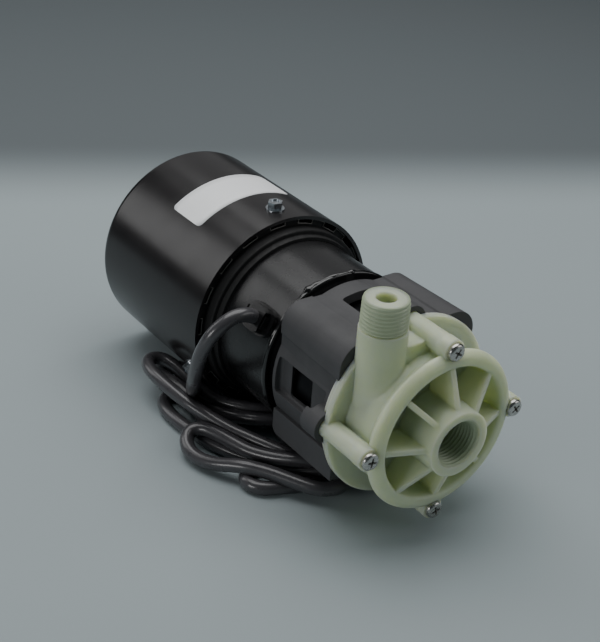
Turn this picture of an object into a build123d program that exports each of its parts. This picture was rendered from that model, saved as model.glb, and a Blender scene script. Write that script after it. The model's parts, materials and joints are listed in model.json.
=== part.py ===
from build123d import *
from math import cos, pi, radians, sin, sqrt, tan
import os

# Magnetic drive pump, in millimetres. The shaft lies along Y and the inlet faces -Y.
# The origin is the centre of the inlet's mouth, +Z runs up along the outlet.

# Pump head
hub_radius = 16.0
inlet_radius = 9.9
inlet_depth = 17.0
eye_radius = 8.0
crest_y = 9.6
pocket_floor_y = 22.0
pocket_floor_thickness = 4.5
chamber_depth = 12.7
chamber_radius = 33.0
head_radius = 40.0
crest_radius = 33.0
pocket_radius = 31.4
head_flange_radius = 45.0
head_flange_thickness = 3.0
rib_count = 8
rib_thickness = 2.6
rib_hub_y = 3.0
boss_circle = 41.7
boss_radius = 5.0
boss_collar_radius = 5.3
boss_collar_length = 6.5
boss_front_y = 10.8
boss_hole_radius = 2.35
boss_count = 4
outlet_x = -22.0
outlet_y = 33.0
outlet_top_z = 63.0
outlet_radius = 11.0
outlet_thread_radius = 9.9
outlet_thread_length = 14.5
outlet_bore_radius = 4.75
web_front_y = 24.2
web_length = 10.0
web_low_z = 30.0
web_top_z = 41.0
neck_clearance = 1.2
spider_hub_radius = 4.6
spider_front_y = 18.5
spider_rib_thickness = 2.0

# Barrier cup and O-ring
rear_flange_radius = 43.5
rear_flange_thickness = 3.0
cup_radius = 25.5
cup_wall = 1.8
cup_depth = 35.0
cup_end_wall = 2.4
cup_boss_radius = 6.2
cup_boss_length = 3.8
notch_clearance = 0.4
oring_circle = 34.9
oring_section = 2.8

# Impeller and its magnet
pump_shaft_radius = 3.0
running_clearance = 0.04
bushing_radius = 5.5
washer_radius = 6.6
washer_thickness = 1.5
end_play = 0.3
impeller_radius = 28.5
vane_count = 6
vane_height = 6.6
vane_thickness = 2.2
impeller_disc = 2.0
impeller_sleeve_radius = 10.6
inner_magnet_radius = 20.8
inner_magnet_length = 22.0
magnet_cover_wall = 1.6

# Drive coupling
drive_gap = 1.5
drive_magnet_radius = 33.0
drive_magnet_length = 26.0
drive_cup_wall = 1.4
drive_plate = 2.5
drive_hub_radius = 9.0
drive_hub_length = 8.5
drive_set_screw_radius = 2.0

# Motor bracket
barrel_radius = 40.2
barrel_wall = 4.7
barrel_rear_y = 85.5
rear_plate = 3.5
rear_plate_hole_radius = 12.5
spigot_step = 5.9
spigot_wall = 3.0
lobe_front_y = 39.5
lobe_half_width = 38.3
lobe_top_z = 39.3
lobe_round = 10.5
lobe_step = 0.7
window_half_width = 11.3
window_high_z = 12.0
lobe_draft = 1.6
band_high = 23.3
foot_top_z = -17.0
foot_face_z = -30.5
foot_round = 4.0
window_front_y = 60.0
window_length = 15.5
window_low_z = -5.6
ear_radius = 7.8
ear_length = 7.5
foot_hole_x = 32.3
foot_hole_spacing_y = 24.0
foot_hole_radius = 2.1
foot_hole_depth = 9.0
bracket_screw_circle = 26.0
standoff_radius = 5.0

# Motor
can_radius = 41.9
can_wall = 2.5
motor_front_y = 91.2
can_length = 76.0
can_front_wall = 4.5
bearing_radius = 9.5
bearing_width = 7.0
bearing_boss_radius = 12.5
bearing_shoulder = 2.5
motor_shaft_radius = 4.0
stator_bore_radius = 21.0
stator_length = 40.0
stator_setback = 14.8
coil_gap = 3.4
coil_length = 7.5
air_gap = 0.5
shaft_front_length = 12.2
shaft_rear_end = 2.0
seam_bead_height = 0.6
seam_bead_width = 1.8

# Air ring, fan and shroud
step_ring_height = 4.3
step_ring_length = 9.6
step_ring_lip = 2.4
step_ring_lip_length = 3.0
tooth_setback = 45.8
tooth_length = 14.0
tooth_root_height = 5.0
tooth_height = 3.1
tooth_count = 18
tooth_share = 0.48
tooth_phase = 86.0
shroud_wall = 1.8
shroud_lap = 2.1
shroud_length = 95.1
shroud_round = 5.0
vent_count = 12
vent_inner_radius = 15.0
vent_outer_radius = 41.0
vent_width = 5.0
fan_hub_radius = 12.0
fan_tip_gap = 6.0
fan_rear_gap = 24.0
fan_length = 20.0
blade_count = 9
blade_pitch = 38.0
blade_thickness = 1.8
blade_chord = 24.8

# Screws
head_screw_radius = 2.0
head_screw_head_radius = 4.3
head_screw_head_height = 2.5
head_screw_length = 38.0
hole_clearance = 0.1
shroud_screw_setback = 10.0
shroud_screw_radius = 1.9
shroud_screw_length = 7.0
shroud_screw_flats = 6.6
shroud_screw_height = 3.4
shroud_washer_radius = 4.7
shroud_washer_height = 0.9
bracket_screw_radius = 1.9
bracket_screw_head_radius = 3.8
bracket_screw_length = 12.5

# Mains lead
floor_z = -52.0
cord_diameter = 7.0
relief_angle = 149.0
relief_setback = 10.7
relief_length = 20.0
relief_width = 14.0
relief_collar_height = 2.6
relief_neck_radius = 5.6
relief_grip_radius = 6.4
relief_height = 6.1
relief_lead = 6.0
relief_slit = 1.2
hank_gap = 0.8
plug_height = 20.0
plug_width = 26.0
plug_length = 28.0
plug_neck_length = 18.0
plug_neck_radius = 5.2
plug_blade_length = 16.0
plug_blade_width = 6.3
plug_blade_thickness = 1.5
plug_blade_spacing = 12.7
earth_pin_radius = 2.4

# Places worked out from the sizes above
chamber_front_y = pocket_floor_y + pocket_floor_thickness
head_flange_rear_y = chamber_front_y + chamber_depth
head_flange_front_y = head_flange_rear_y - head_flange_thickness
barrel_front_y = head_flange_rear_y + rear_flange_thickness
cup_rear_y = barrel_front_y + cup_depth
cup_floor_y = cup_rear_y - cup_end_wall
cup_boss_y = cup_floor_y - cup_boss_length
boss_rear_y = barrel_front_y + 0.8
barrel_bore_radius = barrel_radius - barrel_wall
plate_front_y = barrel_rear_y - rear_plate
can_rear_y = motor_front_y + can_length
can_bore_radius = can_radius - can_wall
spigot_radius = can_radius - spigot_step
coil_radius = can_bore_radius - coil_gap
stator_front_y = motor_front_y + stator_setback
seam_bead_radius = can_radius + seam_bead_height
tooth_front_y = motor_front_y + tooth_setback
step_ring_front_y = tooth_front_y - step_ring_length
step_ring_radius = can_radius + step_ring_height
tooth_root_radius = can_radius + tooth_root_height
shroud_bore_radius = tooth_root_radius + tooth_height
shroud_radius = shroud_bore_radius + shroud_wall
shroud_front_y = tooth_front_y - shroud_lap
shroud_rear_y = shroud_front_y + shroud_length
shroud_screw_y = tooth_front_y + shroud_screw_setback
fan_radius = shroud_bore_radius - fan_tip_gap
fan_front_y = shroud_rear_y - fan_rear_gap - fan_length
shaft_front_y = motor_front_y - shaft_front_length
shaft_rear_y = fan_front_y + fan_length + shaft_rear_end
relief_y = motor_front_y + relief_setback
relief_face_radius = can_radius + relief_height
relief_lead_radius = relief_face_radius + relief_lead
cord_radius = cord_diameter / 2


def cross_plane(y):
    """The plane across the shaft at y, with its first axis along X and its second along Z."""
    return Plane.XZ.offset(-y)


def radial_plane(radius, y, angle):
    """A plane that faces outwards at an angle about the shaft, counted from +X towards +Z."""
    out = (cos(radians(angle)), 0, sin(radians(angle)))
    return Plane(origin=(radius * out[0], y, radius * out[2]), x_dir=(0, 1, 0), z_dir=out)


def profile(*points):
    """A closed outline of (radius, y) points, to be turned about the shaft."""
    with BuildSketch(Plane.XY) as face:
        with BuildLine():
            Polyline(*points, close=True)
        make_face()
    return face.sketch


def around(radius, count, start=0.0):
    """The (x, z) places of a number of things spaced evenly on a circle about the shaft."""
    turns = [radians(start + 360 * k / count) for k in range(count)]
    return [(radius * cos(t), radius * sin(t)) for t in turns]


os.makedirs("parts", exist_ok=True)

boss_places = around(boss_circle, boss_count)

# Front housing: hub with the inlet, ribbed dish, volute, four bosses and the outlet
with BuildPart() as front_housing:
    revolve(
        profile(
            (eye_radius, 6), (hub_radius, 0), (hub_radius + 0.8, pocket_floor_y),
            (pocket_radius, pocket_floor_y), (crest_radius, crest_y), (head_radius, crest_y),
            (head_radius, head_flange_front_y), (head_flange_radius, head_flange_front_y),
            (head_flange_radius, head_flange_rear_y), (eye_radius, head_flange_rear_y),
        ),
        axis=Axis.Y,
    )
    with BuildSketch(cross_plane(0)):
        Circle(hub_radius)
    extrude(amount=-pocket_floor_y)
    crest = front_housing.edges().filter_by(GeomType.CIRCLE).filter_by_position(Axis.Y, crest_y, crest_y)
    fillet(crest.sort_by(SortBy.RADIUS)[-1], 4.2)
    crest = front_housing.edges().filter_by(GeomType.CIRCLE).filter_by_position(Axis.Y, crest_y, crest_y)
    fillet(crest.sort_by(SortBy.RADIUS)[0], 1.6)
    root = front_housing.edges().filter_by(GeomType.CIRCLE)
    root = root.filter_by_position(Axis.Y, head_flange_front_y, head_flange_front_y)
    fillet(root.sort_by(SortBy.RADIUS)[0], 1.5)
    # Ribs from the hub down to the dish's crest
    for k in range(rib_count):
        spoke = Plane.XY.rotated((0, 360 * k / rib_count, 0))
        with BuildSketch(spoke):
            with BuildLine():
                Polyline(
                    (hub_radius - 1, rib_hub_y), (crest_radius + 1.2, crest_y + 1.0),
                    (crest_radius + 1.2, pocket_floor_y + 1), (hub_radius - 1, pocket_floor_y + 1),
                    close=True,
                )
            make_face()
        extrude(amount=rib_thickness / 2, both=True)
    # Screw bosses down the side, each with a collar at its front end
    with BuildSketch(cross_plane(boss_front_y)):
        with Locations(*boss_places):
            Circle(boss_radius)
    extrude(amount=-(boss_rear_y - boss_front_y))
    with BuildSketch(cross_plane(boss_front_y)):
        with Locations(*boss_places):
            Circle(boss_collar_radius)
    extrude(amount=-boss_collar_length)
    # Outlet neck, its threaded end and the web that ties it to the top boss
    with BuildSketch(Plane.XY.offset(8)):
        with Locations((outlet_x, outlet_y)):
            Circle(outlet_radius + 0.5)
    with BuildSketch(Plane.XY.offset(outlet_top_z - outlet_thread_length)):
        with Locations((outlet_x, outlet_y)):
            Circle(outlet_radius)
    loft()
    with BuildSketch(cross_plane(web_front_y)):
        with BuildLine():
            Polyline(
                (outlet_x, web_low_z), (outlet_x, web_top_z),
                (0, boss_circle), (0, boss_circle - boss_radius), close=True,
            )
        make_face()
    extrude(amount=-web_length)
    # The neck and the web stop at the joint with the bracket below its top
    with BuildSketch(cross_plane(head_flange_rear_y)):
        with Locations((outlet_x, 0)):
            Rectangle(5 * outlet_radius, 2 * (lobe_top_z + neck_clearance))
        Circle(rear_flange_radius + notch_clearance)
    extrude(amount=-20, mode=Mode.SUBTRACT)
    with BuildSketch(cross_plane(head_flange_rear_y)):
        with Locations(*boss_places):
            Circle(boss_radius)
    extrude(amount=-(boss_rear_y - head_flange_rear_y))
    with BuildSketch(Plane.XY.offset(outlet_top_z)):
        with Locations((outlet_x, outlet_y)):
            Circle(outlet_thread_radius)
    extrude(amount=-outlet_thread_length - 1)
    rim = front_housing.edges().filter_by(GeomType.CIRCLE).group_by(Axis.Z)[-1]
    chamfer(rim, 0.8)
    # Inlet bore, eye and pump chamber
    with BuildSketch(cross_plane(0)):
        Circle(inlet_radius)
    extrude(amount=-inlet_depth, mode=Mode.SUBTRACT)
    with BuildSketch(cross_plane(0)):
        Circle(eye_radius)
    extrude(amount=-chamber_front_y, mode=Mode.SUBTRACT)
    with BuildSketch(cross_plane(chamber_front_y)):
        Circle(chamber_radius)
    extrude(amount=-chamber_depth - 1, mode=Mode.SUBTRACT)
    with BuildSketch(cross_plane(head_flange_rear_y)):
        with Locations(*boss_places):
            Circle(boss_radius)
    extrude(amount=-(boss_rear_y - head_flange_rear_y))
    # Outlet bore down into the chamber
    with BuildSketch(Plane.XY.offset(outlet_top_z)):
        with Locations((outlet_x, outlet_y)):
            Circle(outlet_bore_radius)
    extrude(amount=-outlet_top_z + 6, mode=Mode.SUBTRACT)
    # Screw holes through the bosses, and room for the screws' heads in the crest
    with BuildSketch(cross_plane(boss_front_y)):
        with Locations(*boss_places):
            Circle(head_screw_head_radius + 0.3)
    extrude(amount=boss_front_y, mode=Mode.SUBTRACT)
    with BuildSketch(cross_plane(boss_front_y)):
        with Locations(*boss_places):
            Circle(boss_hole_radius)
    extrude(amount=-(boss_rear_y - boss_front_y), mode=Mode.SUBTRACT)
    # Three-legged spider in the eye that holds the front of the shaft
    with BuildSketch(cross_plane(spider_front_y)):
        Circle(spider_hub_radius)
        with PolarLocations(0, 3):
            with Locations((eye_radius / 2, 0)):
                Rectangle(eye_radius + 0.6, spider_rib_thickness)
    extrude(amount=-(chamber_front_y - spider_front_y))
    with BuildSketch(cross_plane(spider_front_y + 2)):
        Circle(pump_shaft_radius)
    extrude(amount=-(chamber_front_y - spider_front_y), mode=Mode.SUBTRACT)
front_housing.part.label = "front_housing"
export_step(front_housing.part, "parts/front_housing.step")

# Rear housing: the barrier cup between the two magnets
with BuildPart() as rear_housing:
    revolve(
        profile(
            (0, cup_rear_y), (cup_radius, cup_rear_y), (cup_radius, barrel_front_y),
            (rear_flange_radius, barrel_front_y), (rear_flange_radius, head_flange_rear_y),
            (cup_radius - cup_wall, head_flange_rear_y), (cup_radius - cup_wall, cup_floor_y),
            (cup_boss_radius, cup_floor_y), (cup_boss_radius, cup_boss_y), (pump_shaft_radius, cup_boss_y),
            (pump_shaft_radius, cup_floor_y), (0, cup_floor_y),
        ),
        axis=Axis.Y,
    )
    edge = rear_housing.edges().filter_by(GeomType.CIRCLE).group_by(Axis.Y)[-1]
    fillet(edge, 2.0)
    with BuildSketch(cross_plane(head_flange_rear_y)):
        with Locations(*boss_places):
            Circle(boss_radius + notch_clearance)
    extrude(amount=-rear_flange_thickness, mode=Mode.SUBTRACT)
    revolve(
        profile(
            (oring_circle - oring_section / 2, head_flange_rear_y - 1),
            (oring_circle + oring_section / 2, head_flange_rear_y - 1),
            (oring_circle + oring_section / 2, head_flange_rear_y + oring_section * 0.8),
            (oring_circle - oring_section / 2, head_flange_rear_y + oring_section * 0.8),
        ),
        axis=Axis.Y,
        mode=Mode.SUBTRACT,
    )
rear_housing.part.label = "rear_housing"
export_step(rear_housing.part, "parts/rear_housing.step")

# O-ring, squeezed flat on both sides of its groove
with BuildPart() as housing_oring:
    revolve(
        profile(
            (oring_circle - oring_section / 2 + 0.2, head_flange_rear_y),
            (oring_circle + oring_section / 2 - 0.2, head_flange_rear_y),
            (oring_circle + oring_section / 2 - 0.2, head_flange_rear_y + oring_section * 0.8),
            (oring_circle - oring_section / 2 + 0.2, head_flange_rear_y + oring_section * 0.8),
        ),
        axis=Axis.Y,
    )
    fillet(housing_oring.edges().filter_by(GeomType.CIRCLE), 0.6)
housing_oring.part.label = "housing_oring"
export_step(housing_oring.part, "parts/housing_oring.step")

# Pump shaft, a still ceramic pin between the spider and the cup's pocket
with BuildPart() as pump_shaft:
    with BuildSketch(cross_plane(spider_front_y + 2)):
        Circle(pump_shaft_radius)
    extrude(amount=-(cup_floor_y - spider_front_y - 2))
    chamfer(pump_shaft.edges().filter_by(GeomType.CIRCLE), 0.3)
pump_shaft.part.label = "pump_shaft"
export_step(pump_shaft.part, "parts/pump_shaft.step")


def make_washer(front_y):
    """One thrust washer on the pump shaft, its front face at front_y."""
    with BuildPart() as washer:
        with BuildSketch(cross_plane(front_y)):
            Circle(washer_radius)
            Circle(pump_shaft_radius + running_clearance, mode=Mode.SUBTRACT)
        extrude(amount=-washer_thickness)
    return washer.part


# Thrust washers, one against the spider and one against the cup's pocket
for washer_name, washer_y in (
    ("front_washer", chamber_front_y),
    ("rear_washer", cup_boss_y - washer_thickness),
):
    thrust_washer = make_washer(washer_y)
    thrust_washer.label = washer_name
    export_step(thrust_washer, f"parts/{washer_name}.step")

sleeve_front_y = chamber_front_y + washer_thickness + end_play
sleeve_rear_y = cup_boss_y - washer_thickness - end_play
disc_front_y = sleeve_front_y + 1.0 + vane_height

# Bushing that turns on the pump shaft
with BuildPart() as impeller_bushing:
    with BuildSketch(cross_plane(sleeve_front_y)):
        Circle(bushing_radius)
        Circle(pump_shaft_radius + running_clearance, mode=Mode.SUBTRACT)
    extrude(amount=-(sleeve_rear_y - sleeve_front_y))
impeller_bushing.part.label = "impeller_bushing"
export_step(impeller_bushing.part, "parts/impeller_bushing.step")

# Impeller: nose, disc, curved vanes and the sleeve that carries the magnet
with BuildPart() as impeller:
    revolve(
        profile(
            (bushing_radius, sleeve_front_y), (bushing_radius + 1.2, sleeve_front_y),
            (bushing_radius + 1.8, disc_front_y - 3), (impeller_sleeve_radius, disc_front_y),
            (impeller_radius, disc_front_y), (impeller_radius, disc_front_y + impeller_disc),
            (impeller_sleeve_radius, disc_front_y + impeller_disc), (impeller_sleeve_radius, sleeve_rear_y),
            (bushing_radius, sleeve_rear_y),
        ),
        axis=Axis.Y,
    )
    with BuildSketch(cross_plane(disc_front_y - vane_height)) as vane_face:
        with PolarLocations(0, vane_count):
            with BuildLine():
                outer = SagittaArc((bushing_radius + 2.5, 0), (impeller_radius * 0.82, 16), -5)
                inner = offset(outer, amount=vane_thickness / 2, side=Side.BOTH)
            make_face()
    extrude(amount=-vane_height)
impeller.part.label = "impeller"
export_step(impeller.part, "parts/impeller.step")

inner_magnet_rear_y = sleeve_rear_y - magnet_cover_wall
inner_magnet_front_y = inner_magnet_rear_y - inner_magnet_length

# Inner magnet, a ring on the impeller's sleeve
with BuildPart() as inner_magnet:
    with BuildSketch(cross_plane(inner_magnet_front_y)):
        Circle(inner_magnet_radius)
        Circle(impeller_sleeve_radius, mode=Mode.SUBTRACT)
    extrude(amount=-inner_magnet_length)
inner_magnet.part.label = "inner_magnet"
export_step(inner_magnet.part, "parts/inner_magnet.step")

# Sealed cover round the inner magnet
with BuildPart() as magnet_cover:
    with BuildSketch(cross_plane(inner_magnet_front_y - magnet_cover_wall)):
        Circle(inner_magnet_radius + magnet_cover_wall)
        Circle(impeller_sleeve_radius, mode=Mode.SUBTRACT)
    extrude(amount=-(inner_magnet_length + 2 * magnet_cover_wall))
    with BuildSketch(cross_plane(inner_magnet_front_y)):
        Circle(inner_magnet_radius)
    extrude(amount=-inner_magnet_length, mode=Mode.SUBTRACT)
magnet_cover.part.label = "magnet_cover"
export_step(magnet_cover.part, "parts/magnet_cover.step")

drive_magnet_inner_radius = cup_radius + drive_gap
drive_plate_front_y = cup_rear_y + drive_gap
drive_magnet_rear_y = cup_rear_y - 2.5
drive_magnet_front_y = drive_magnet_rear_y - drive_magnet_length
drive_plate_rear_y = drive_plate_front_y + drive_plate
drive_hub_rear_y = drive_plate_rear_y + drive_hub_length

# Drive magnet, the outer ring that turns the inner one
with BuildPart() as drive_magnet:
    with BuildSketch(cross_plane(drive_magnet_front_y)):
        Circle(drive_magnet_radius)
        Circle(drive_magnet_inner_radius, mode=Mode.SUBTRACT)
    extrude(amount=-drive_magnet_length)
drive_magnet.part.label = "drive_magnet"
export_step(drive_magnet.part, "parts/drive_magnet.step")

# Drive hub: cup round the magnet and a boss on the motor shaft
with BuildPart() as drive_hub:
    revolve(
        profile(
            (drive_magnet_radius, drive_magnet_front_y),
            (drive_magnet_radius + drive_cup_wall, drive_magnet_front_y),
            (drive_magnet_radius + drive_cup_wall, drive_plate_rear_y),
            (drive_hub_radius, drive_plate_rear_y),
            (drive_hub_radius, drive_hub_rear_y), (motor_shaft_radius, drive_hub_rear_y),
            (motor_shaft_radius, drive_plate_front_y), (drive_magnet_inner_radius + 2.5, drive_plate_front_y),
            (drive_magnet_inner_radius + 2.5, drive_magnet_rear_y),
            (drive_magnet_radius, drive_magnet_rear_y),
        ),
        axis=Axis.Y,
    )
    with BuildSketch(Plane.XY):
        with Locations((0, drive_plate_rear_y + drive_hub_length / 2)):
            Circle(drive_set_screw_radius)
    extrude(amount=drive_hub_radius + 1, mode=Mode.SUBTRACT)
drive_hub.part.label = "drive_hub"
export_step(drive_hub.part, "parts/drive_hub.step")

# Set screw in the drive hub, its tip on the motor shaft
with BuildPart() as set_screw:
    with BuildSketch(Plane.XY.offset(motor_shaft_radius)):
        with Locations((0, drive_plate_rear_y + drive_hub_length / 2)):
            Circle(drive_set_screw_radius)
    extrude(amount=drive_hub_radius - motor_shaft_radius - 0.4)
    with BuildSketch(Plane.XY.offset(drive_hub_radius - 0.4)):
        with Locations((0, drive_plate_rear_y + drive_hub_length / 2)):
            RegularPolygon(drive_set_screw_radius * 0.55, 6)
    extrude(amount=-2, mode=Mode.SUBTRACT)
set_screw.part.label = "set_screw"
export_step(set_screw.part, "parts/set_screw.step")

lobe_length = barrel_rear_y - lobe_front_y
lobe_shrink = lobe_length * tan(radians(lobe_draft))
standoff_places = around(bracket_screw_circle, 4, 45)
ear_rear_y = lobe_front_y + ear_length + boss_rear_y - lobe_front_y

# Motor bracket: barrel with four lobes, windows, foot pads and ears for the head's screws
with BuildPart() as motor_bracket:
    with BuildSketch(cross_plane(barrel_front_y)):
        Circle(barrel_radius)
    extrude(amount=-(barrel_rear_y - barrel_front_y))
    # Spigot and screw standoffs that stand on the motor's front wall
    with BuildSketch(cross_plane(motor_front_y)):
        Circle(spigot_radius)
        Circle(spigot_radius - spigot_wall, mode=Mode.SUBTRACT)
        with Locations(*standoff_places):
            Circle(standoff_radius)
    extrude(amount=motor_front_y - plate_front_y)
    # Upper lobes: rounded corner blocks with a shallow step down to the flat bands between them
    rear_half_width = lobe_half_width - lobe_shrink
    rear_top_z = lobe_top_z - lobe_shrink
    crease_x = lobe_half_width - lobe_round - 7
    with BuildSketch(cross_plane(barrel_rear_y)):
        with BuildLine():
            Polyline(
                (rear_half_width - lobe_step, 0), (rear_half_width - lobe_step, band_high - lobe_step),
                (rear_half_width, band_high), (rear_half_width, rear_top_z), (crease_x, rear_top_z),
                (crease_x - lobe_step, rear_top_z - lobe_step), (0, rear_top_z - lobe_step), (0, 0),
                close=True,
            )
        lobe_face = make_face()
        fillet(lobe_face.vertices().sort_by(lambda v: v.X + v.Y)[-1], lobe_round)
        mirror(about=Plane.YZ)
    extrude(amount=lobe_length, taper=-lobe_draft)
    # Lower lobes: upright side faces down to the flat foot pads, rounded at their rear lower corner
    with BuildSketch(Plane.YZ):
        with BuildLine():
            Polyline(
                (lobe_front_y, foot_top_z), (lobe_front_y, foot_face_z), (barrel_rear_y, foot_face_z),
                (barrel_rear_y, foot_top_z), close=True,
            )
        foot_side = make_face()
        fillet(foot_side.vertices().sort_by(lambda v: v.X - v.Y)[-1], foot_round)
    extrude(amount=lobe_half_width, both=True)
    # Ears round the four head screws
    with BuildSketch(cross_plane(lobe_front_y)):
        with Locations(*boss_places):
            Circle(ear_radius)
    extrude(amount=-(ear_rear_y - lobe_front_y))
    # Seat for the head, barrel bore and spigot
    with BuildSketch(cross_plane(lobe_front_y)):
        Circle(rear_flange_radius + 0.3)
    extrude(amount=-(barrel_front_y - lobe_front_y), mode=Mode.SUBTRACT)
    with BuildSketch(cross_plane(lobe_front_y)):
        with Locations(*boss_places):
            Circle(boss_radius + notch_clearance)
    extrude(amount=-(boss_rear_y - lobe_front_y), mode=Mode.SUBTRACT)
    with BuildSketch(cross_plane(barrel_front_y)):
        Circle(barrel_bore_radius)
    extrude(amount=-(plate_front_y - barrel_front_y), mode=Mode.SUBTRACT)
    with BuildSketch(cross_plane(plate_front_y)):
        Circle(rear_plate_hole_radius)
    extrude(amount=-rear_plate, mode=Mode.SUBTRACT)
    # Windows in the barrel's sides, top and bottom
    window_z = (window_low_z + window_high_z) / 2
    for side in (-1, 1):
        with BuildSketch(Plane.YZ.offset(side * (barrel_bore_radius - 6))):
            with Locations((window_front_y + window_length / 2, window_z)):
                RectangleRounded(window_length, window_high_z - window_low_z, 1.5)
        extrude(amount=side * 20, mode=Mode.SUBTRACT)
    for side in (-1, 1):
        with BuildSketch(Plane.XY.offset(side * (barrel_bore_radius - 3))):
            with Locations((0, window_front_y + window_length / 2)):
                RectangleRounded(2 * window_half_width, window_length, 1.5)
        extrude(amount=side * 20, mode=Mode.SUBTRACT)
    # Screw holes: head screws in the ears, bracket screws in the rear plate, pilot holes in the pads
    with BuildSketch(cross_plane(boss_rear_y)):
        with Locations(*boss_places):
            Circle(head_screw_radius + hole_clearance)
    extrude(amount=-(ear_rear_y - boss_rear_y - 0.8), mode=Mode.SUBTRACT)
    for x, z in standoff_places:
        with Locations(Plane(origin=(x, plate_front_y, z), z_dir=(0, -1, 0))):
            CounterSinkHole(
                bracket_screw_radius + hole_clearance, bracket_screw_head_radius,
                motor_front_y - plate_front_y, 90,
            )
    pad_y = window_front_y + window_length / 2 - 5
    for x in (-foot_hole_x, foot_hole_x):
        for y in (pad_y - foot_hole_spacing_y / 2, pad_y + foot_hole_spacing_y / 2):
            with Locations(Plane(origin=(x, y, foot_face_z), z_dir=(0, 0, -1))):
                Hole(foot_hole_radius, foot_hole_depth)
motor_bracket.part.label = "motor_bracket"
export_step(motor_bracket.part, "parts/motor_bracket.step")

bearing_front_y = motor_front_y + 4.0
bearing_rear_y = can_rear_y - bearing_width
can_screw_depth = bracket_screw_length - (motor_front_y - plate_front_y) + 0.3
relief_out = (cos(radians(relief_angle)), sin(radians(relief_angle)))

# Motor can with its front wall, bearing boss and the hole for the mains lead
with BuildPart() as motor_can:
    revolve(
        profile(
            (rear_plate_hole_radius, motor_front_y), (can_radius, motor_front_y), (can_radius, can_rear_y),
            (can_bore_radius, can_rear_y), (can_bore_radius, motor_front_y + can_front_wall),
            (bearing_boss_radius, motor_front_y + can_front_wall),
            (bearing_boss_radius, bearing_front_y + bearing_width),
            (bearing_radius, bearing_front_y + bearing_width), (bearing_radius, bearing_front_y),
            (bearing_radius - bearing_shoulder, bearing_front_y),
            (bearing_radius - bearing_shoulder, motor_front_y),
        ),
        axis=Axis.Y,
    )
    for x, z in standoff_places:
        with BuildSketch(cross_plane(motor_front_y)):
            with Locations((x, z)):
                Circle(bracket_screw_radius)
        extrude(amount=-can_screw_depth, mode=Mode.SUBTRACT)
    with BuildSketch(radial_plane(can_bore_radius - 2, relief_y, relief_angle)):
        Circle(relief_neck_radius)
    extrude(amount=can_wall + 4, mode=Mode.SUBTRACT)
motor_can.part.label = "motor_can"
export_step(motor_can.part, "parts/motor_can.step")

bead_front_y = motor_front_y - seam_bead_width

# Bead of potting round the seam at the can's front edge
with BuildPart() as seam_bead:
    revolve(
        profile(
            (spigot_radius, bead_front_y), (seam_bead_radius, bead_front_y),
            (seam_bead_radius, motor_front_y), (spigot_radius, motor_front_y),
        ),
        axis=Axis.Y,
    )
    bead_edges = seam_bead.edges().filter_by(GeomType.CIRCLE).group_by(Axis.Y)[0]
    fillet(bead_edges.sort_by(SortBy.RADIUS)[-1], 1.2)
seam_bead.part.label = "seam_bead"
export_step(seam_bead.part, "parts/seam_bead.step")

# End cap inside the can's rear, with the rear bearing's seat
with BuildPart() as motor_end_cap:
    revolve(
        profile(
            (bearing_radius - bearing_shoulder, can_rear_y + 3), (can_radius, can_rear_y + 3),
            (can_radius, can_rear_y), (can_bore_radius, can_rear_y), (can_bore_radius, can_rear_y - 3),
            (can_bore_radius - 2, can_rear_y - 3), (can_bore_radius - 2, can_rear_y - 0.5),
            (bearing_boss_radius, can_rear_y - 0.5), (bearing_boss_radius, bearing_rear_y),
            (bearing_radius, bearing_rear_y), (bearing_radius, can_rear_y),
            (bearing_radius - bearing_shoulder, can_rear_y),
        ),
        axis=Axis.Y,
    )
motor_end_cap.part.label = "motor_end_cap"
export_step(motor_end_cap.part, "parts/motor_end_cap.step")


def make_bearing(front_y):
    """One ball bearing, drawn as a ring with its two side grooves."""
    groove = 0.8
    inner = motor_shaft_radius + 1.8
    outer = bearing_radius - 1.8
    bore = motor_shaft_radius + running_clearance
    rear_y = front_y + bearing_width
    with BuildPart() as bearing:
        revolve(
            profile(
                (bore, front_y), (inner, front_y), (inner, front_y + groove), (outer, front_y + groove),
                (outer, front_y), (bearing_radius, front_y), (bearing_radius, rear_y), (outer, rear_y),
                (outer, rear_y - groove), (inner, rear_y - groove), (inner, rear_y), (bore, rear_y),
            ),
            axis=Axis.Y,
        )
    return bearing.part


# Ball bearings at the two ends of the can
for bearing_name, bearing_y in (("front_bearing", bearing_front_y), ("rear_bearing", bearing_rear_y)):
    ball_bearing = make_bearing(bearing_y)
    ball_bearing.label = bearing_name
    export_step(ball_bearing, f"parts/{bearing_name}.step")

# Stator core
with BuildPart() as stator_core:
    with BuildSketch(cross_plane(stator_front_y)):
        Circle(can_bore_radius)
        Circle(stator_bore_radius, mode=Mode.SUBTRACT)
    extrude(amount=-stator_length)
stator_core.part.label = "stator_core"
export_step(stator_core.part, "parts/stator_core.step")

# End turns of the winding, one ring at each end of the core
for coil_name, coil_y, end_y in (
    ("front_coil", stator_front_y - coil_length, stator_front_y - coil_length),
    ("rear_coil", stator_front_y + stator_length, stator_front_y + stator_length + coil_length),
):
    with BuildPart() as stator_coil:
        with BuildSketch(cross_plane(coil_y)):
            Circle(coil_radius)
            Circle(stator_bore_radius + 2, mode=Mode.SUBTRACT)
        extrude(amount=-coil_length)
        fillet(stator_coil.edges().filter_by(GeomType.CIRCLE).filter_by_position(Axis.Y, end_y, end_y), 2.5)
    stator_coil.part.label = coil_name
    export_step(stator_coil.part, f"parts/{coil_name}.step")

# Rotor on the motor shaft
with BuildPart() as rotor:
    with BuildSketch(cross_plane(stator_front_y)):
        Circle(stator_bore_radius - air_gap)
        Circle(motor_shaft_radius, mode=Mode.SUBTRACT)
    extrude(amount=-stator_length)
    chamfer(rotor.edges().filter_by(GeomType.CIRCLE).sort_by(SortBy.RADIUS)[-2:], 0.5)
rotor.part.label = "rotor"
export_step(rotor.part, "parts/rotor.step")

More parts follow.
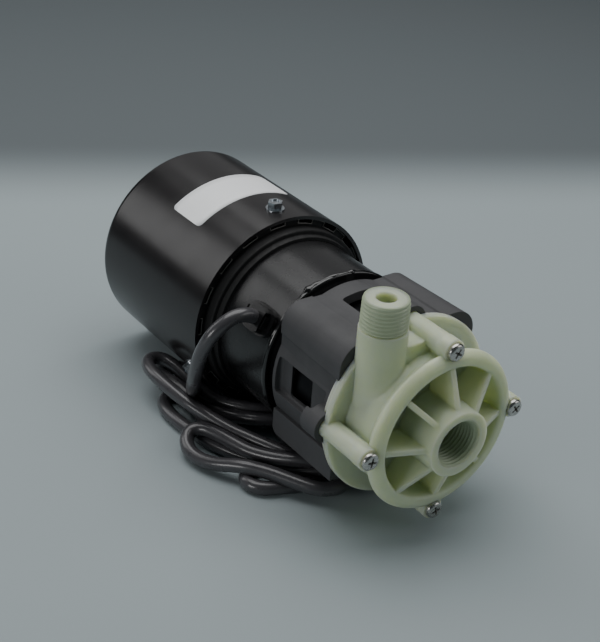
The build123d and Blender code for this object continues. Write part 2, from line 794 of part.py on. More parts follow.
# Motor shaft
with BuildPart() as motor_shaft:
    with BuildSketch(cross_plane(shaft_front_y)):
        Circle(motor_shaft_radius)
    extrude(amount=-(shaft_rear_y - shaft_front_y))
    chamfer(motor_shaft.edges().filter_by(GeomType.CIRCLE), 0.5)
motor_shaft.part.label = "motor_shaft"
export_step(motor_shaft.part, "parts/motor_shaft.step")

lip_rear_y = step_ring_front_y + step_ring_lip_length

# Stepped ring where the air leaves the shroud
with BuildPart() as step_ring:
    revolve(
        profile(
            (can_radius, step_ring_front_y), (step_ring_radius - step_ring_lip - 0.2, step_ring_front_y),
            (step_ring_radius - step_ring_lip + 0.2, lip_rear_y), (step_ring_radius, lip_rear_y),
            (step_ring_radius, tooth_front_y), (can_radius, tooth_front_y),
        ),
        axis=Axis.Y,
    )
    lip = step_ring.edges().filter_by(GeomType.CIRCLE).filter_by_position(Axis.Y, lip_rear_y, lip_rear_y)
    fillet(lip.sort_by(SortBy.RADIUS)[-1], 0.8)
step_ring.part.label = "step_ring"
export_step(step_ring.part, "parts/step_ring.step")

shroud_screw_angles = (90.0, 210.0, 330.0)

# Castellated ring: teeth that hold the shroud clear of the can, with a boss for each screw
with BuildPart() as castellated_ring:
    with BuildSketch(cross_plane(tooth_front_y)):
        Circle(shroud_bore_radius)
    extrude(amount=-tooth_length)
    gap_angle = 360 / tooth_count * (1 - tooth_share)
    for k in range(tooth_count):
        turn = tooth_phase + 360 / tooth_count * (k + 0.5)
        low = radians(turn - gap_angle / 2)
        high = radians(turn + gap_angle / 2)
        reach = shroud_bore_radius + 4
        with BuildSketch(cross_plane(tooth_front_y)):
            Polygon(
                (0, 0), (reach * cos(low), reach * sin(low)), (reach * cos(high), reach * sin(high)),
                align=None,
            )
            Circle(tooth_root_radius, mode=Mode.SUBTRACT)
        extrude(amount=-tooth_length, mode=Mode.SUBTRACT)
    for angle in shroud_screw_angles:
        with BuildSketch(radial_plane(can_radius + 1, shroud_screw_y, angle)):
            Circle(shroud_screw_radius + 2.2)
        extrude(amount=shroud_bore_radius - can_radius - 1.4)
    with BuildSketch(cross_plane(tooth_front_y)):
        Circle(can_radius)
    extrude(amount=-tooth_length, mode=Mode.SUBTRACT)
    for angle in shroud_screw_angles:
        with BuildSketch(radial_plane(can_radius, shroud_screw_y, angle)):
            Circle(shroud_screw_radius)
        extrude(amount=shroud_radius - can_radius, mode=Mode.SUBTRACT)
castellated_ring.part.label = "castellated_ring"
export_step(castellated_ring.part, "parts/castellated_ring.step")

# Cooling fan: hub and blades set at a pitch
with BuildPart() as cooling_fan:
    for k in range(blade_count):
        turn = 360 * k / blade_count
        with BuildSketch(radial_plane(fan_hub_radius - 2, fan_front_y + fan_length / 2, turn)):
            Rectangle(blade_chord, blade_thickness, rotation=blade_pitch)
        extrude(amount=fan_radius - fan_hub_radius + 4)
    with BuildSketch(cross_plane(fan_front_y)):
        Circle(fan_radius)
    extrude(amount=-fan_length, mode=Mode.INTERSECT)
    with BuildSketch(cross_plane(fan_front_y)):
        Circle(fan_hub_radius)
    extrude(amount=-fan_length)
    with BuildSketch(cross_plane(fan_front_y - 1)):
        Circle(motor_shaft_radius)
    extrude(amount=-(fan_length + 2), mode=Mode.SUBTRACT)
cooling_fan.part.label = "cooling_fan"
export_step(cooling_fan.part, "parts/cooling_fan.step")

screw_seat_radius = sqrt(shroud_radius**2 - shroud_washer_radius**2)

# Fan shroud: a deep cup with a rounded rear edge and a grille of slots in its end
with BuildPart() as fan_shroud:
    with BuildSketch(cross_plane(shroud_front_y)):
        Circle(shroud_radius)
    extrude(amount=-(shroud_rear_y - shroud_front_y))
    rear_edge = fan_shroud.edges().filter_by(GeomType.CIRCLE).group_by(Axis.Y)[-1]
    fillet(rear_edge, shroud_round)
    with BuildSketch(cross_plane(shroud_front_y)):
        Circle(shroud_bore_radius)
    extrude(amount=-(shroud_rear_y - shroud_front_y - shroud_wall), mode=Mode.SUBTRACT)
    inner_edge = fan_shroud.edges().filter_by(GeomType.CIRCLE)
    inner_edge = inner_edge.filter_by_position(
        Axis.Y, shroud_rear_y - shroud_wall - 0.01, shroud_rear_y - shroud_wall + 0.01,
    )
    fillet(inner_edge, shroud_round - shroud_wall)
    with BuildSketch(cross_plane(shroud_rear_y - shroud_wall - 1)):
        with PolarLocations((vent_inner_radius + vent_outer_radius) / 2, vent_count):
            SlotOverall(vent_outer_radius - vent_inner_radius, vent_width)
    extrude(amount=-(shroud_wall + 2), mode=Mode.SUBTRACT)
    for angle in shroud_screw_angles:
        with BuildSketch(radial_plane(shroud_bore_radius - 2, shroud_screw_y, angle)):
            Circle(shroud_screw_radius + hole_clearance)
        extrude(amount=shroud_wall + 4, mode=Mode.SUBTRACT)
        with BuildSketch(radial_plane(screw_seat_radius, shroud_screw_y, angle)):
            Circle(shroud_washer_radius + hole_clearance)
        extrude(amount=3, mode=Mode.SUBTRACT)
fan_shroud.part.label = "fan_shroud"
export_step(fan_shroud.part, "parts/fan_shroud.step")


def make_shroud_screw(angle):
    """One hex screw with a washer face, driven in towards the shaft."""
    shank_length = shroud_screw_length
    with BuildPart() as screw:
        with BuildSketch(radial_plane(screw_seat_radius - shank_length, shroud_screw_y, angle)):
            Circle(shroud_screw_radius)
        extrude(amount=shank_length)
        with BuildSketch(radial_plane(screw_seat_radius, shroud_screw_y, angle)):
            Circle(shroud_washer_radius)
        extrude(amount=shroud_washer_height)
        with BuildSketch(radial_plane(screw_seat_radius + shroud_washer_height, shroud_screw_y, angle)):
            RegularPolygon(shroud_screw_flats / 2, 6, major_radius=False, rotation=17)
        extrude(amount=shroud_screw_height)
        top_radius = screw_seat_radius + shroud_washer_height + shroud_screw_height
        with BuildSketch(radial_plane(top_radius, shroud_screw_y, angle)):
            Circle(shroud_screw_flats * 0.36)
        extrude(amount=-0.6, mode=Mode.SUBTRACT)
    return screw.part


# Shroud screws, one on top and two low at the sides
for k, angle in enumerate(shroud_screw_angles, start=1):
    shroud_screw = make_shroud_screw(angle)
    shroud_screw.label = f"shroud_screw_{k}"
    export_step(shroud_screw, f"parts/shroud_screw_{k}.step")


def make_head_screw(x, z, turn):
    """One pan-head screw through a boss of the front housing, with a cross recess."""
    head_y = boss_front_y - head_screw_head_height
    with BuildPart() as screw:
        with BuildSketch(cross_plane(head_y)):
            with Locations((x, z)):
                Circle(head_screw_head_radius)
        extrude(amount=-head_screw_head_height)
        dome = screw.edges().filter_by(GeomType.CIRCLE).group_by(Axis.Y)[0]
        fillet(dome, 1.5)
        with BuildSketch(cross_plane(boss_front_y)):
            with Locations((x, z)):
                Circle(head_screw_radius)
        extrude(amount=-head_screw_length)
        with BuildSketch(cross_plane(head_y)):
            with Locations(Location((x, z), turn)):
                Rectangle(4.6, 0.9)
                Rectangle(0.9, 4.6)
                Rectangle(1.7, 1.7, rotation=45)
        extrude(amount=-1.6, taper=12, mode=Mode.SUBTRACT)
    return screw.part


# Head screws through the four bosses
for k, (x, z) in enumerate(boss_places, start=1):
    head_screw = make_head_screw(x, z, 23 * k + 11)
    head_screw.label = f"head_screw_{k}"
    export_step(head_screw, f"parts/head_screw_{k}.step")


def make_bracket_screw(x, z):
    """One countersunk screw that holds the bracket on the motor's front wall."""
    cone = bracket_screw_head_radius - bracket_screw_radius
    with BuildPart() as screw:
        with BuildSketch(cross_plane(plate_front_y)):
            with Locations((x, z)):
                Circle(bracket_screw_radius)
        extrude(amount=-bracket_screw_length)
        with BuildSketch(cross_plane(plate_front_y)):
            with Locations((x, z)):
                Circle(bracket_screw_head_radius)
        extrude(amount=-cone, taper=45)
        with BuildSketch(cross_plane(plate_front_y)):
            with Locations((x, z)):
                Rectangle(4.0, 0.9)
                Rectangle(0.9, 4.0)
        extrude(amount=-1.0, mode=Mode.SUBTRACT)
    return screw.part


# Bracket screws through the rear plate and its standoffs
for k, (x, z) in enumerate(standoff_places, start=1):
    bracket_screw = make_bracket_screw(x, z)
    bracket_screw.label = f"bracket_screw_{k}"
    export_step(bracket_screw, f"parts/bracket_screw_{k}.step")

# Strain relief: a two-part grip with a collar on the can and a neck through its wall
with BuildPart() as strain_relief:
    with BuildSketch(radial_plane(can_radius - 1.6, relief_y, relief_angle)):
        RectangleRounded(relief_length, relief_width, relief_width * 0.42)
    extrude(amount=relief_collar_height + 1.6)
    with BuildSketch(radial_plane(can_radius + relief_collar_height, relief_y, relief_angle)):
        RectangleRounded(relief_grip_radius * 2.4, relief_grip_radius * 2, relief_grip_radius * 0.9)
    extrude(amount=relief_face_radius - can_radius - relief_collar_height)
    with BuildSketch(radial_plane(can_radius + relief_collar_height, relief_y, relief_angle)):
        with Locations((-relief_grip_radius, 0), (relief_grip_radius, 0)):
            Rectangle(relief_slit, relief_width)
    extrude(amount=relief_face_radius, mode=Mode.SUBTRACT)
    with BuildSketch(cross_plane(relief_y - relief_length)):
        Circle(can_radius)
    extrude(amount=-2 * relief_length, mode=Mode.SUBTRACT)
    with BuildSketch(radial_plane(can_bore_radius + 0.2, relief_y, relief_angle)):
        Circle(relief_neck_radius)
    extrude(amount=can_wall + 1)
strain_relief.part.label = "strain_relief"
export_step(strain_relief.part, "parts/strain_relief.step")


def corner_radii(points):
    """The radius of each corner of a route: 0.45 of its shorter run over the tangent of half the turn."""
    radii = []
    for before, here, after in zip(points, points[1:], points[2:]):
        run_in = Vector(*here) - Vector(*before)
        run_out = Vector(*after) - Vector(*here)
        half_turn = radians(run_in.get_angle(run_out) / 2)
        radii.append(0.45 * min(run_in.length, run_out.length) / tan(half_turn))
    return radii


def make_tube(points):
    """A plain cord of the lead's diameter along a route of straight runs and arcs."""
    with BuildPart() as tube:
        with BuildLine():
            path = FilletPolyline(*points, radius=corner_radii(points))
        with BuildSketch(Plane(origin=path @ 0, z_dir=path % 0)):
            Circle(cord_radius)
        sweep(path=path, transition=Transition.ROUND)
    volume_ratio = tube.part.volume / (pi * cord_radius**2 * path.length)
    print("cord radii", [round(radius, 1) for radius in corner_radii(points)])
    print("cord length", round(path.length, 1), "volume ratio", round(volume_ratio, 3))
    return tube.part


cord_floor_z = floor_z + cord_radius
plug_z = floor_z + plug_height / 2
plug_neck_place = (61, 132, plug_z)

# Route of the lead from the relief's face down into the hank
drop_route = [
    (relief_face_radius * relief_out[0], relief_y, relief_face_radius * relief_out[1]),
    (relief_lead_radius * relief_out[0], relief_y, relief_lead_radius * relief_out[1]),
    (-54.5, 102.4, 26.6),
    (-61.8, 104.4, 20.0),
    (-65.3, 107.8, 9.5),
    (-64.6, 112.8, -2.2),
    (-61.2, 119.8, -13.4),
    (-56.2, 128.5, -24.0),
    (-50.0, 138.0, -33.2),
    (-43.5, 147.0, -41.0),
]

# Route of the lead from the folds under the pump round to the plug
tail_route = [
    (27, 57.5, cord_floor_z),
    (42, 63.5, cord_floor_z),
    (53, 75, cord_floor_z),
    (59, 90, cord_floor_z),
    (plug_neck_place[0], 105, cord_floor_z + 2.5),
    (plug_neck_place[0], 119, plug_z),
    plug_neck_place,
]

# The lead, drawn in the stretches that aren't folded up
power_cord = make_tube(drop_route)
cord_tail = make_tube(tail_route)

# Folded hank of the lead: a lower layer that runs on under the pump and a narrower one on top of it
with BuildPart() as cord_hank:
    for outline, layers, bend in (
        (
            (
                (-33, 190), (-57, 188), (-63, 150), (-73, 112), (-66, 80), (-48, 60), (-26, 45), (-10, 54),
                (38, 56), (54, 82), (50, 110), (30, 124), (-18, 126), (-29, 142),
            ),
            1, 9,
        ),
        (
            ((-40, 192), (-56, 188), (-57, 140), (-47, 84), (-34, 66), (-19, 70), (-22, 98), (-36, 140)),
            2, 6,
        ),
    ):
        with BuildSketch(Plane.XY.offset(floor_z)) as hank_face:
            Polygon(*outline, align=None)
            fillet(hank_face.vertices(), bend)
        extrude(amount=layers * cord_diameter)
    upper_edge = cord_hank.edges().group_by(Axis.Z)[-1]
    fillet(upper_edge, cord_radius * 0.7)
    for radius, start_y, end_y in (
        (barrel_radius + hank_gap, head_flange_front_y, motor_front_y),
        (can_radius + hank_gap, motor_front_y - 2 * seam_bead_width, step_ring_front_y),
        (step_ring_radius + hank_gap, step_ring_front_y - 1, shroud_front_y),
        (shroud_radius + hank_gap, shroud_front_y - 1, shroud_rear_y),
    ):
        with BuildSketch(cross_plane(start_y)):
            Circle(radius)
        extrude(amount=-(end_y - start_y), mode=Mode.SUBTRACT)
cord_hank.part.label = "cord_hank"
export_step(cord_hank.part, "parts/cord_hank.step")

for tube_name, tube_part in (("power_cord", power_cord), ("cord_tail", cord_tail)):
    tube_part.label = tube_name
    export_step(tube_part, f"parts/{tube_name}.step")

plug_front_y = plug_neck_place[1] + plug_neck_length
plug_rear_y = plug_front_y + plug_length

# Plug: a tapered neck on the lead and a flat grip
with BuildPart() as power_plug:
    with BuildSketch(cross_plane(plug_neck_place[1])):
        with Locations((plug_neck_place[0], plug_z)):
            Circle(plug_neck_radius)
    with BuildSketch(cross_plane(plug_front_y)):
        with Locations((plug_neck_place[0], plug_z)):
            Circle(plug_neck_radius + 2)
    loft()
    with BuildSketch(cross_plane(plug_front_y)):
        with Locations((plug_neck_place[0], plug_z)):
            RectangleRounded(plug_width, plug_height, 5)
    extrude(amount=-plug_length)
    grip_edge = power_plug.edges().filter_by_position(Axis.Y, plug_front_y, plug_front_y)
    fillet(grip_edge.filter_by(lambda e: e.center().Z > plug_z + 8 or e.center().Z < plug_z - 8), 1.0)
power_plug.part.label = "power_plug"
export_step(power_plug.part, "parts/power_plug.step")

# Plug blades: two flat ones and a round earth pin
for blade_name, blade_x in (
    ("plug_blade_1", plug_neck_place[0] - plug_blade_spacing / 2),
    ("plug_blade_2", plug_neck_place[0] + plug_blade_spacing / 2),
):
    with BuildPart() as plug_blade:
        with BuildSketch(cross_plane(plug_rear_y)):
            with Locations((blade_x, plug_z + 2.5)):
                Rectangle(plug_blade_thickness, plug_blade_width)
        extrude(amount=-plug_blade_length)
    plug_blade.part.label = blade_name
    export_step(plug_blade.part, f"parts/{blade_name}.step")

with BuildPart() as earth_pin:
    with BuildSketch(cross_plane(plug_rear_y)):
        with Locations((plug_neck_place[0], plug_z - 5)):
            Circle(earth_pin_radius)
    extrude(amount=-plug_blade_length)
    fillet(earth_pin.edges().filter_by(GeomType.CIRCLE).group_by(Axis.Y)[-1], 1.5)
earth_pin.part.label = "earth_pin"
export_step(earth_pin.part, "parts/earth_pin.step")
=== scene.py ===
"""The visual model of a magnetic drive pump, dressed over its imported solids.

Lengths are metres unless a name ends in _mm. The shaft lies along Y, the inlet faces -Y, the outlet
stands up along +Z, and the pump and its folded mains lead rest on the floor at FLOOR_Z.
"""
import json
import logging
from dataclasses import dataclass
from enum import Enum
from math import cos, pi, radians, sin, tau

import bmesh
import bpy
from mathutils import Matrix, Vector


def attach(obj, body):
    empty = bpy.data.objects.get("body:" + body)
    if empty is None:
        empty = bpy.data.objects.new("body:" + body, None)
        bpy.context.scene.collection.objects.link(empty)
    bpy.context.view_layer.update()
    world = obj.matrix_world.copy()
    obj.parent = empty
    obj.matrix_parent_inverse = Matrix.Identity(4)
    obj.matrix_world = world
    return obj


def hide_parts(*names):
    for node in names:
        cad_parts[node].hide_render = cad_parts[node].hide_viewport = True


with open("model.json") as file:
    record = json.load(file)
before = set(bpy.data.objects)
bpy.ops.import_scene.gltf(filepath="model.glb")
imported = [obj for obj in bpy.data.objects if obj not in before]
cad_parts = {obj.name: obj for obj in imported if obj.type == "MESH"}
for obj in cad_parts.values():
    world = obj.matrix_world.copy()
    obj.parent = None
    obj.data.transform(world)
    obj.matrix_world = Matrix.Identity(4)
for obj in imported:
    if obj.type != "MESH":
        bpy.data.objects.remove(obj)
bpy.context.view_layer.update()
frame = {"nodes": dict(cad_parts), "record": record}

log = logging.getLogger("pump")
logging.basicConfig(level=logging.INFO, format="%(message)s")

MM = 0.001
FLOOR_Z = -52.0 * MM
CORD_RADIUS = 3.5 * MM
ALONG_SHAFT = Vector((0.0, 1.0, 0.0))


def linear(hex_colour: str) -> tuple[float, float, float, float]:
    """Turn an sRGB hex colour into linear light.

    Args:
        hex_colour: Six hex digits, such as "a0b1c2".

    Returns:
        Red, green, blue and an alpha of one.
    """
    values = [int(hex_colour[k:k + 2], 16) / 255 for k in (0, 2, 4)]
    light = [v / 12.92 if v <= 0.04045 else ((v + 0.055) / 1.055) ** 2.4 for v in values]
    return (light[0], light[1], light[2], 1.0)


def add_node(
    tree: bpy.types.NodeTree, kind: str, settings: dict | None = None, **inputs: object,
) -> bpy.types.Node:
    """Add one shader node with its settings, values and links.

    Args:
        tree: The node tree that gets the node.
        kind: The node's type name, without "ShaderNode".
        settings: Properties of the node itself.
        inputs: Socket values by name, with underscores for spaces; a socket is linked, not copied.

    Returns:
        The new node.
    """
    node = tree.nodes.new("ShaderNode" + kind)
    for name, value in (settings or {}).items():
        setattr(node, name, value)
    for name, value in inputs.items():
        wanted = name.replace("_", " ")
        socket = next(s for s in node.inputs if s.name == wanted and s.enabled)
        if isinstance(value, bpy.types.NodeSocket):
            tree.links.new(value, socket)
        else:
            socket.default_value = value
    return node


# Settled dust: pale grey, in specks drawn coarse enough to show
DUST_GREY = "8d8e8f"
DUST_SPECK_MM = 0.7
# Shared by all finishes: a clear skin's roughness, the bump's strength, and wear finer than the colour
SKIN_ROUGHNESS = 0.12
BUMP_STRENGTH = 0.6
WEAR_SIZE = 0.4


class Surface(Enum):
    """How a finish's fine relief was made."""

    SMOOTH = "smooth"
    GRAINED = "grained"
    TURNED = "turned"
    PLATED = "plated"


@dataclass(frozen=True)
class Finish:
    """One material and how its surface was made.

    Attributes:
        name: The material's name in the scene.
        colour: Base colour, sRGB hex.
        roughness: Mean roughness.
        relief: How the fine relief was made.
        grain_mm: Size of one grain or tool mark.
        depth_mm: Height of the relief.
        metallic: One for bare metal.
        ior: Index of refraction.
        mottle: How far the colour drifts over the surface, as a share.
        mottle_mm: Size of one patch of that drift.
        coat: Strength of a clear skin.
        sheen: Strength of the soft edge sheen.
        scatter_mm: How far light travels inside, or zero.
        scatter: Weight of the light that travels inside.
        dust: Share of pale dust that settles on what faces up.
        edge_mm: Radius to which the mould or tool rounds the edges, or zero.
    """

    name: str
    colour: str
    roughness: float
    relief: Surface = Surface.SMOOTH
    grain_mm: float = 0.6
    depth_mm: float = 0.01
    metallic: float = 0.0
    ior: float = 1.5
    mottle: float = 0.06
    mottle_mm: float = 18.0
    coat: float = 0.0
    sheen: float = 0.0
    scatter_mm: float = 0.0
    scatter: float = 0.0
    dust: float = 0.0
    edge_mm: float = 0.0

    def build(self) -> bpy.types.Material:
        """Make the material once and reuse it afterwards.

        Returns:
            The material with its node tree.
        """
        known = bpy.data.materials.get(self.name)
        if known:
            return known
        material = bpy.data.materials.new(self.name)
        material.use_nodes = True
        tree = material.node_tree
        shader = tree.nodes["Principled BSDF"]
        place = add_node(tree, "TexCoord").outputs["Object"]
        patches = add_node(tree, "TexNoise", Vector=place, Scale=1 / (self.mottle_mm * MM), Detail=3.0)
        light = tuple(min(1.0, c * (1 + self.mottle)) for c in linear(self.colour)[:3]) + (1.0,)
        dark = tuple(c * (1 - self.mottle) for c in linear(self.colour)[:3]) + (1.0,)
        drift = add_node(tree, "MapRange", Value=patches.outputs["Fac"], From_Min=0.35, From_Max=0.65)
        colour = add_node(
            tree, "Mix", {"data_type": "RGBA"}, Factor=drift.outputs["Result"], A=dark, B=light,
        ).outputs[2]
        if self.dust:
            facing = add_node(tree, "NewGeometry").outputs["Normal"]
            up = add_node(tree, "SeparateXYZ", Vector=facing).outputs["Z"]
            specks = add_node(tree, "TexNoise", Vector=place, Scale=1 / (DUST_SPECK_MM * MM), Detail=2.0)
            lit = add_node(tree, "Math", {"operation": "MULTIPLY"})
            tree.links.new(up, lit.inputs[0])
            tree.links.new(specks.outputs["Fac"], lit.inputs[1])
            amount = add_node(
                tree, "MapRange", Value=lit.outputs["Value"], From_Min=0.3, From_Max=0.75, To_Max=self.dust,
            )
            colour = add_node(
                tree, "Mix", {"data_type": "RGBA"}, Factor=amount.outputs["Result"], A=colour,
                B=linear(DUST_GREY),
            ).outputs[2]
        tree.links.new(colour, shader.inputs["Base Color"])
        self.add_relief(tree, shader, place)
        shader.inputs["Metallic"].default_value = self.metallic
        if not self.metallic:
            shader.inputs["IOR"].default_value = self.ior
        shader.inputs["Coat Weight"].default_value = self.coat
        shader.inputs["Coat Roughness"].default_value = SKIN_ROUGHNESS
        shader.inputs["Sheen Weight"].default_value = self.sheen
        if self.scatter:
            shader.inputs["Subsurface Weight"].default_value = self.scatter
            shader.inputs["Subsurface Radius"].default_value = (1.0, 0.95, 0.6)
            shader.inputs["Subsurface Scale"].default_value = self.scatter_mm * MM
        return material

    def add_relief(
        self, tree: bpy.types.NodeTree, shader: bpy.types.Node, place: bpy.types.NodeSocket,
    ) -> None:
        """Drive roughness and bump from the way the surface was made.

        Args:
            tree: The material's node tree.
            shader: Its Principled shader.
            place: The object's own coordinates.
        """
        scale = 1 / (self.grain_mm * MM)
        if self.relief is Surface.TURNED:
            stretch = add_node(tree, "Mapping", Vector=place, Scale=(0.05, 1.0, 0.05))
            grain = add_node(tree, "TexNoise", Vector=stretch.outputs["Vector"], Scale=scale, Detail=2.0)
        elif self.relief is Surface.PLATED:
            grain = add_node(tree, "TexNoise", Vector=place, Scale=scale, Detail=6.0, Roughness=0.7)
        elif self.relief is Surface.GRAINED:
            grain = add_node(tree, "TexVoronoi", Vector=place, Scale=scale)
        else:
            grain = add_node(tree, "TexNoise", Vector=place, Scale=scale, Detail=2.0)
        height = grain.outputs["Distance"] if self.relief is Surface.GRAINED else grain.outputs["Fac"]
        patch = self.mottle_mm * WEAR_SIZE * MM
        wear = add_node(tree, "TexNoise", Vector=place, Scale=1 / patch, Detail=5.0)
        rough = add_node(
            tree, "MapRange", Value=wear.outputs["Fac"], From_Min=0.3, From_Max=0.7,
            To_Min=self.roughness * 0.88, To_Max=min(1.0, self.roughness * 1.14),
        )
        tree.links.new(rough.outputs["Result"], shader.inputs["Roughness"])
        bump = add_node(tree, "Bump", Height=height, Distance=self.depth_mm * MM, Strength=BUMP_STRENGTH)
        if self.edge_mm:
            edge = add_node(tree, "Bevel", {"samples": 4}, Radius=self.edge_mm * MM)
            tree.links.new(edge.outputs["Normal"], bump.inputs["Normal"])
        tree.links.new(bump.outputs["Normal"], shader.inputs["Normal"])


# Natural polypropylene, moulded: waxy, faintly green, with light carried a few millimetres in
NATURAL_POLYPROPYLENE = Finish(
    "natural_polypropylene_moulded", "cbd5b8", 0.36, grain_mm=1.6, depth_mm=0.012,
    ior=1.49, mottle=0.03, mottle_mm=14, scatter_mm=11.0, scatter=1.0, edge_mm=1.5,
)
# The same plastic where it is thin and cut by a thread: clouded, with crisp satin crests
THREADED_POLYPROPYLENE = Finish(
    "natural_polypropylene_threaded", "b6c2a4", 0.34, grain_mm=1.6, depth_mm=0.01, ior=1.49,
    mottle=0.03, mottle_mm=14,
)
# Glass-filled polypropylene, moulded: grey-black and matte, with the fibres' fine dull grain
GLASS_FILLED_POLYPROPYLENE = Finish(
    "glass_filled_polypropylene_moulded", "454547", 0.62, Surface.GRAINED, grain_mm=0.5, depth_mm=0.012,
    mottle=0.08, mottle_mm=22, dust=0.03, edge_mm=0.6,
)
# Thermoset casting resin round the motor: even satin black with long soft highlights
CAST_ENCAPSULATION = Finish(
    "cast_epoxy_encapsulation", "1a1a1b", 0.27, grain_mm=0.9, depth_mm=0.006,
    mottle=0.06, mottle_mm=30, dust=0.02,
)
# Impact-modified ABS, moulded: a satin gloss that keeps broad reflections
MOULDED_ABS = Finish(
    "abs_moulded_satin_gloss", "1d1b1c", 0.24, grain_mm=1.1, depth_mm=0.006,
    mottle=0.05, mottle_mm=40, dust=0.04,
)
# Nylon of the air rings, moulded dull: black, made darker still as painted shade for the recess between the
# can and the shroud, with no highlight of its own
DULL_NYLON_PAINTED_SHADE = Finish(
    "nylon_moulded_dull_painted_shade", "0c0c0d", 0.72, Surface.GRAINED, grain_mm=0.8, depth_mm=0.03, mottle=0.15,
    mottle_mm=7, dust=0.02, edge_mm=0.5,
)
# Painted highlight: a pale grey line along the teeth's edges, standing for the light those edges catch
PAINTED_EDGE_HIGHLIGHT = Finish(
    "nylon_painted_edge_highlight", "8e8c88", 0.45, grain_mm=0.9, depth_mm=0.02, mottle=0.25,
    mottle_mm=3,
)
# Glossy moulded nylon: near-black with tight highlights on every step
GLOSSY_NYLON = Finish(
    "nylon_moulded_glossy", "151516", 0.2, grain_mm=1.3, depth_mm=0.02, mottle=0.08,
    mottle_mm=9,
)
# Potting resin, cured where it flowed: wet-looking and lumpy
POTTING_RESIN = Finish(
    "potting_resin_cured", "0f0f10", 0.16, grain_mm=5.0, depth_mm=0.12, mottle=0.1,
    mottle_mm=6, coat=0.5,
)
# Flexible PVC jacket, extruded: satin black with a faint bloom
PVC_JACKET = Finish(
    "pvc_jacket_extruded", "454447", 0.29, grain_mm=1.8, depth_mm=0.03, mottle=0.08,
    mottle_mm=12, coat=0.35,
)
# PVC, moulded round the plug: a little duller than the jacket
PVC_MOULDED = Finish(
    "pvc_moulded_plug", "262628", 0.45, Surface.GRAINED, grain_mm=0.7, depth_mm=0.015, mottle=0.06,
    mottle_mm=12,
)
# Zinc on steel, bright passivated: bluish, with small cloudy patches
ZINC_PLATE = Finish(
    "zinc_plated_steel", "c9cfd4", 0.24, Surface.PLATED, grain_mm=1.0, depth_mm=0.01, metallic=1.0,
    mottle=0.12, mottle_mm=2.5,
)
# Stainless steel, cold headed: neutral grey, lightly dulled
STAINLESS = Finish(
    "stainless_steel_cold_headed", "b9b8b4", 0.26, Surface.PLATED, grain_mm=0.6, depth_mm=0.008, metallic=1.0,
    mottle=0.1, mottle_mm=2.0,
)
# Ground steel of shafts and bearings: fine turned marks round the axis
GROUND_STEEL = Finish(
    "steel_ground", "a9abad", 0.28, Surface.TURNED, grain_mm=0.3, depth_mm=0.004, metallic=1.0, mottle=0.05,
)
# Electrical steel in stacked sheets: dull grey with the sheets' fine lines
LAMINATED_STEEL = Finish(
    "electrical_steel_stacked", "77787a", 0.5, Surface.TURNED, grain_mm=0.5, depth_mm=0.02, metallic=1.0,
    mottle=0.1,
)
# Enamelled copper under varnish: warm brown-red
VARNISHED_COPPER = Finish(
    "copper_wire_varnished", "8c4a26", 0.35, Surface.TURNED, grain_mm=0.8, depth_mm=0.12, mottle=0.2,
    mottle_mm=3, coat=0.3,
)
# Turned aluminium, coloured nearly black, which darkens what shows through the bracket's windows; fine tool
# marks
TURNED_ALUMINIUM = Finish(
    "aluminium_turned_near_black", "1c1c1e", 0.4, Surface.TURNED, grain_mm=0.35, depth_mm=0.006,
    metallic=1.0, mottle=0.05,
)
# Sintered ferrite: charcoal grey, dry and slightly grainy
SINTERED_FERRITE = Finish(
    "ferrite_sintered", "3a3a3c", 0.6, Surface.GRAINED, grain_mm=0.6, depth_mm=0.02, mottle=0.1, mottle_mm=5,
)
# Alumina ceramic, ground: off-white and smooth
GROUND_ALUMINA = Finish(
    "alumina_ceramic_ground", "e9e6da", 0.2, grain_mm=0.5, depth_mm=0.003, ior=1.76,
    mottle=0.02,
)
# Nitrile rubber, moulded: soft black
NITRILE_RUBBER = Finish(
    "nitrile_rubber_moulded", "1b1b1c", 0.6, grain_mm=0.8, depth_mm=0.01, sheen=0.15,
)
# Nylon of the fan, moulded matte
FAN_NYLON = Finish("nylon_moulded_matte", "2d2e30", 0.5, Surface.GRAINED, grain_mm=0.5, depth_mm=0.01)
# Brass blades with a nickel flash: pale, slightly brushed
NICKEL_BRASS = Finish(
    "brass_nickel_flash", "cfc9b4", 0.25, Surface.TURNED, grain_mm=0.4, depth_mm=0.004, metallic=1.0,
    mottle=0.06,
)
# Polyester label film under a satin varnish: cool white, dead smooth
LABEL_FILM = Finish(
    "polyester_label_film", "f8fafb", 0.34, grain_mm=2.0, depth_mm=0.004, mottle=0.015,
    mottle_mm=16,
)

FINISHES: dict[str, Finish] = {
    "head_plastic": NATURAL_POLYPROPYLENE,
    "seal_rubber": NITRILE_RUBBER,
    "ceramic_pin": GROUND_ALUMINA,
    "washer_plastic": GROUND_ALUMINA,
    "bracket_plastic": GLASS_FILLED_POLYPROPYLENE,
    "can_plastic": CAST_ENCAPSULATION,
    "potting": POTTING_RESIN,
    "bearing_steel": GROUND_STEEL,
    "core_steel": LAMINATED_STEEL,
    "winding": VARNISHED_COPPER,
    "ring_plastic": DULL_NYLON_PAINTED_SHADE,
    "shroud_plastic": MOULDED_ABS,
    "zinc_screw": ZINC_PLATE,
    "stainless_screw": STAINLESS,
    "screw_black": SINTERED_FERRITE,
    "relief_nylon": GLOSSY_NYLON,
    "cord_jacket": PVC_JACKET,
    "plug_vinyl": PVC_MOULDED,
    "blade_brass": NICKEL_BRASS,
    "shaft_steel": GROUND_STEEL,
    "hub_aluminium": TURNED_ALUMINIUM,
    "magnet_ferrite": SINTERED_FERRITE,
    "fan_plastic": FAN_NYLON,
    "impeller_plastic": NATURAL_POLYPROPYLENE,
    "bushing_carbon": SINTERED_FERRITE,
}


def add_object(name: str, data: bpy.types.ID) -> bpy.types.Object:
    """Make an object and put it in the scene.

    Args:
        name: The object's name.
        data: Its mesh, curve, lens or light.

    Returns:
        The new object.
    """
    made = bpy.data.objects.new(name, data)
    bpy.context.scene.collection.objects.link(made)
    return made


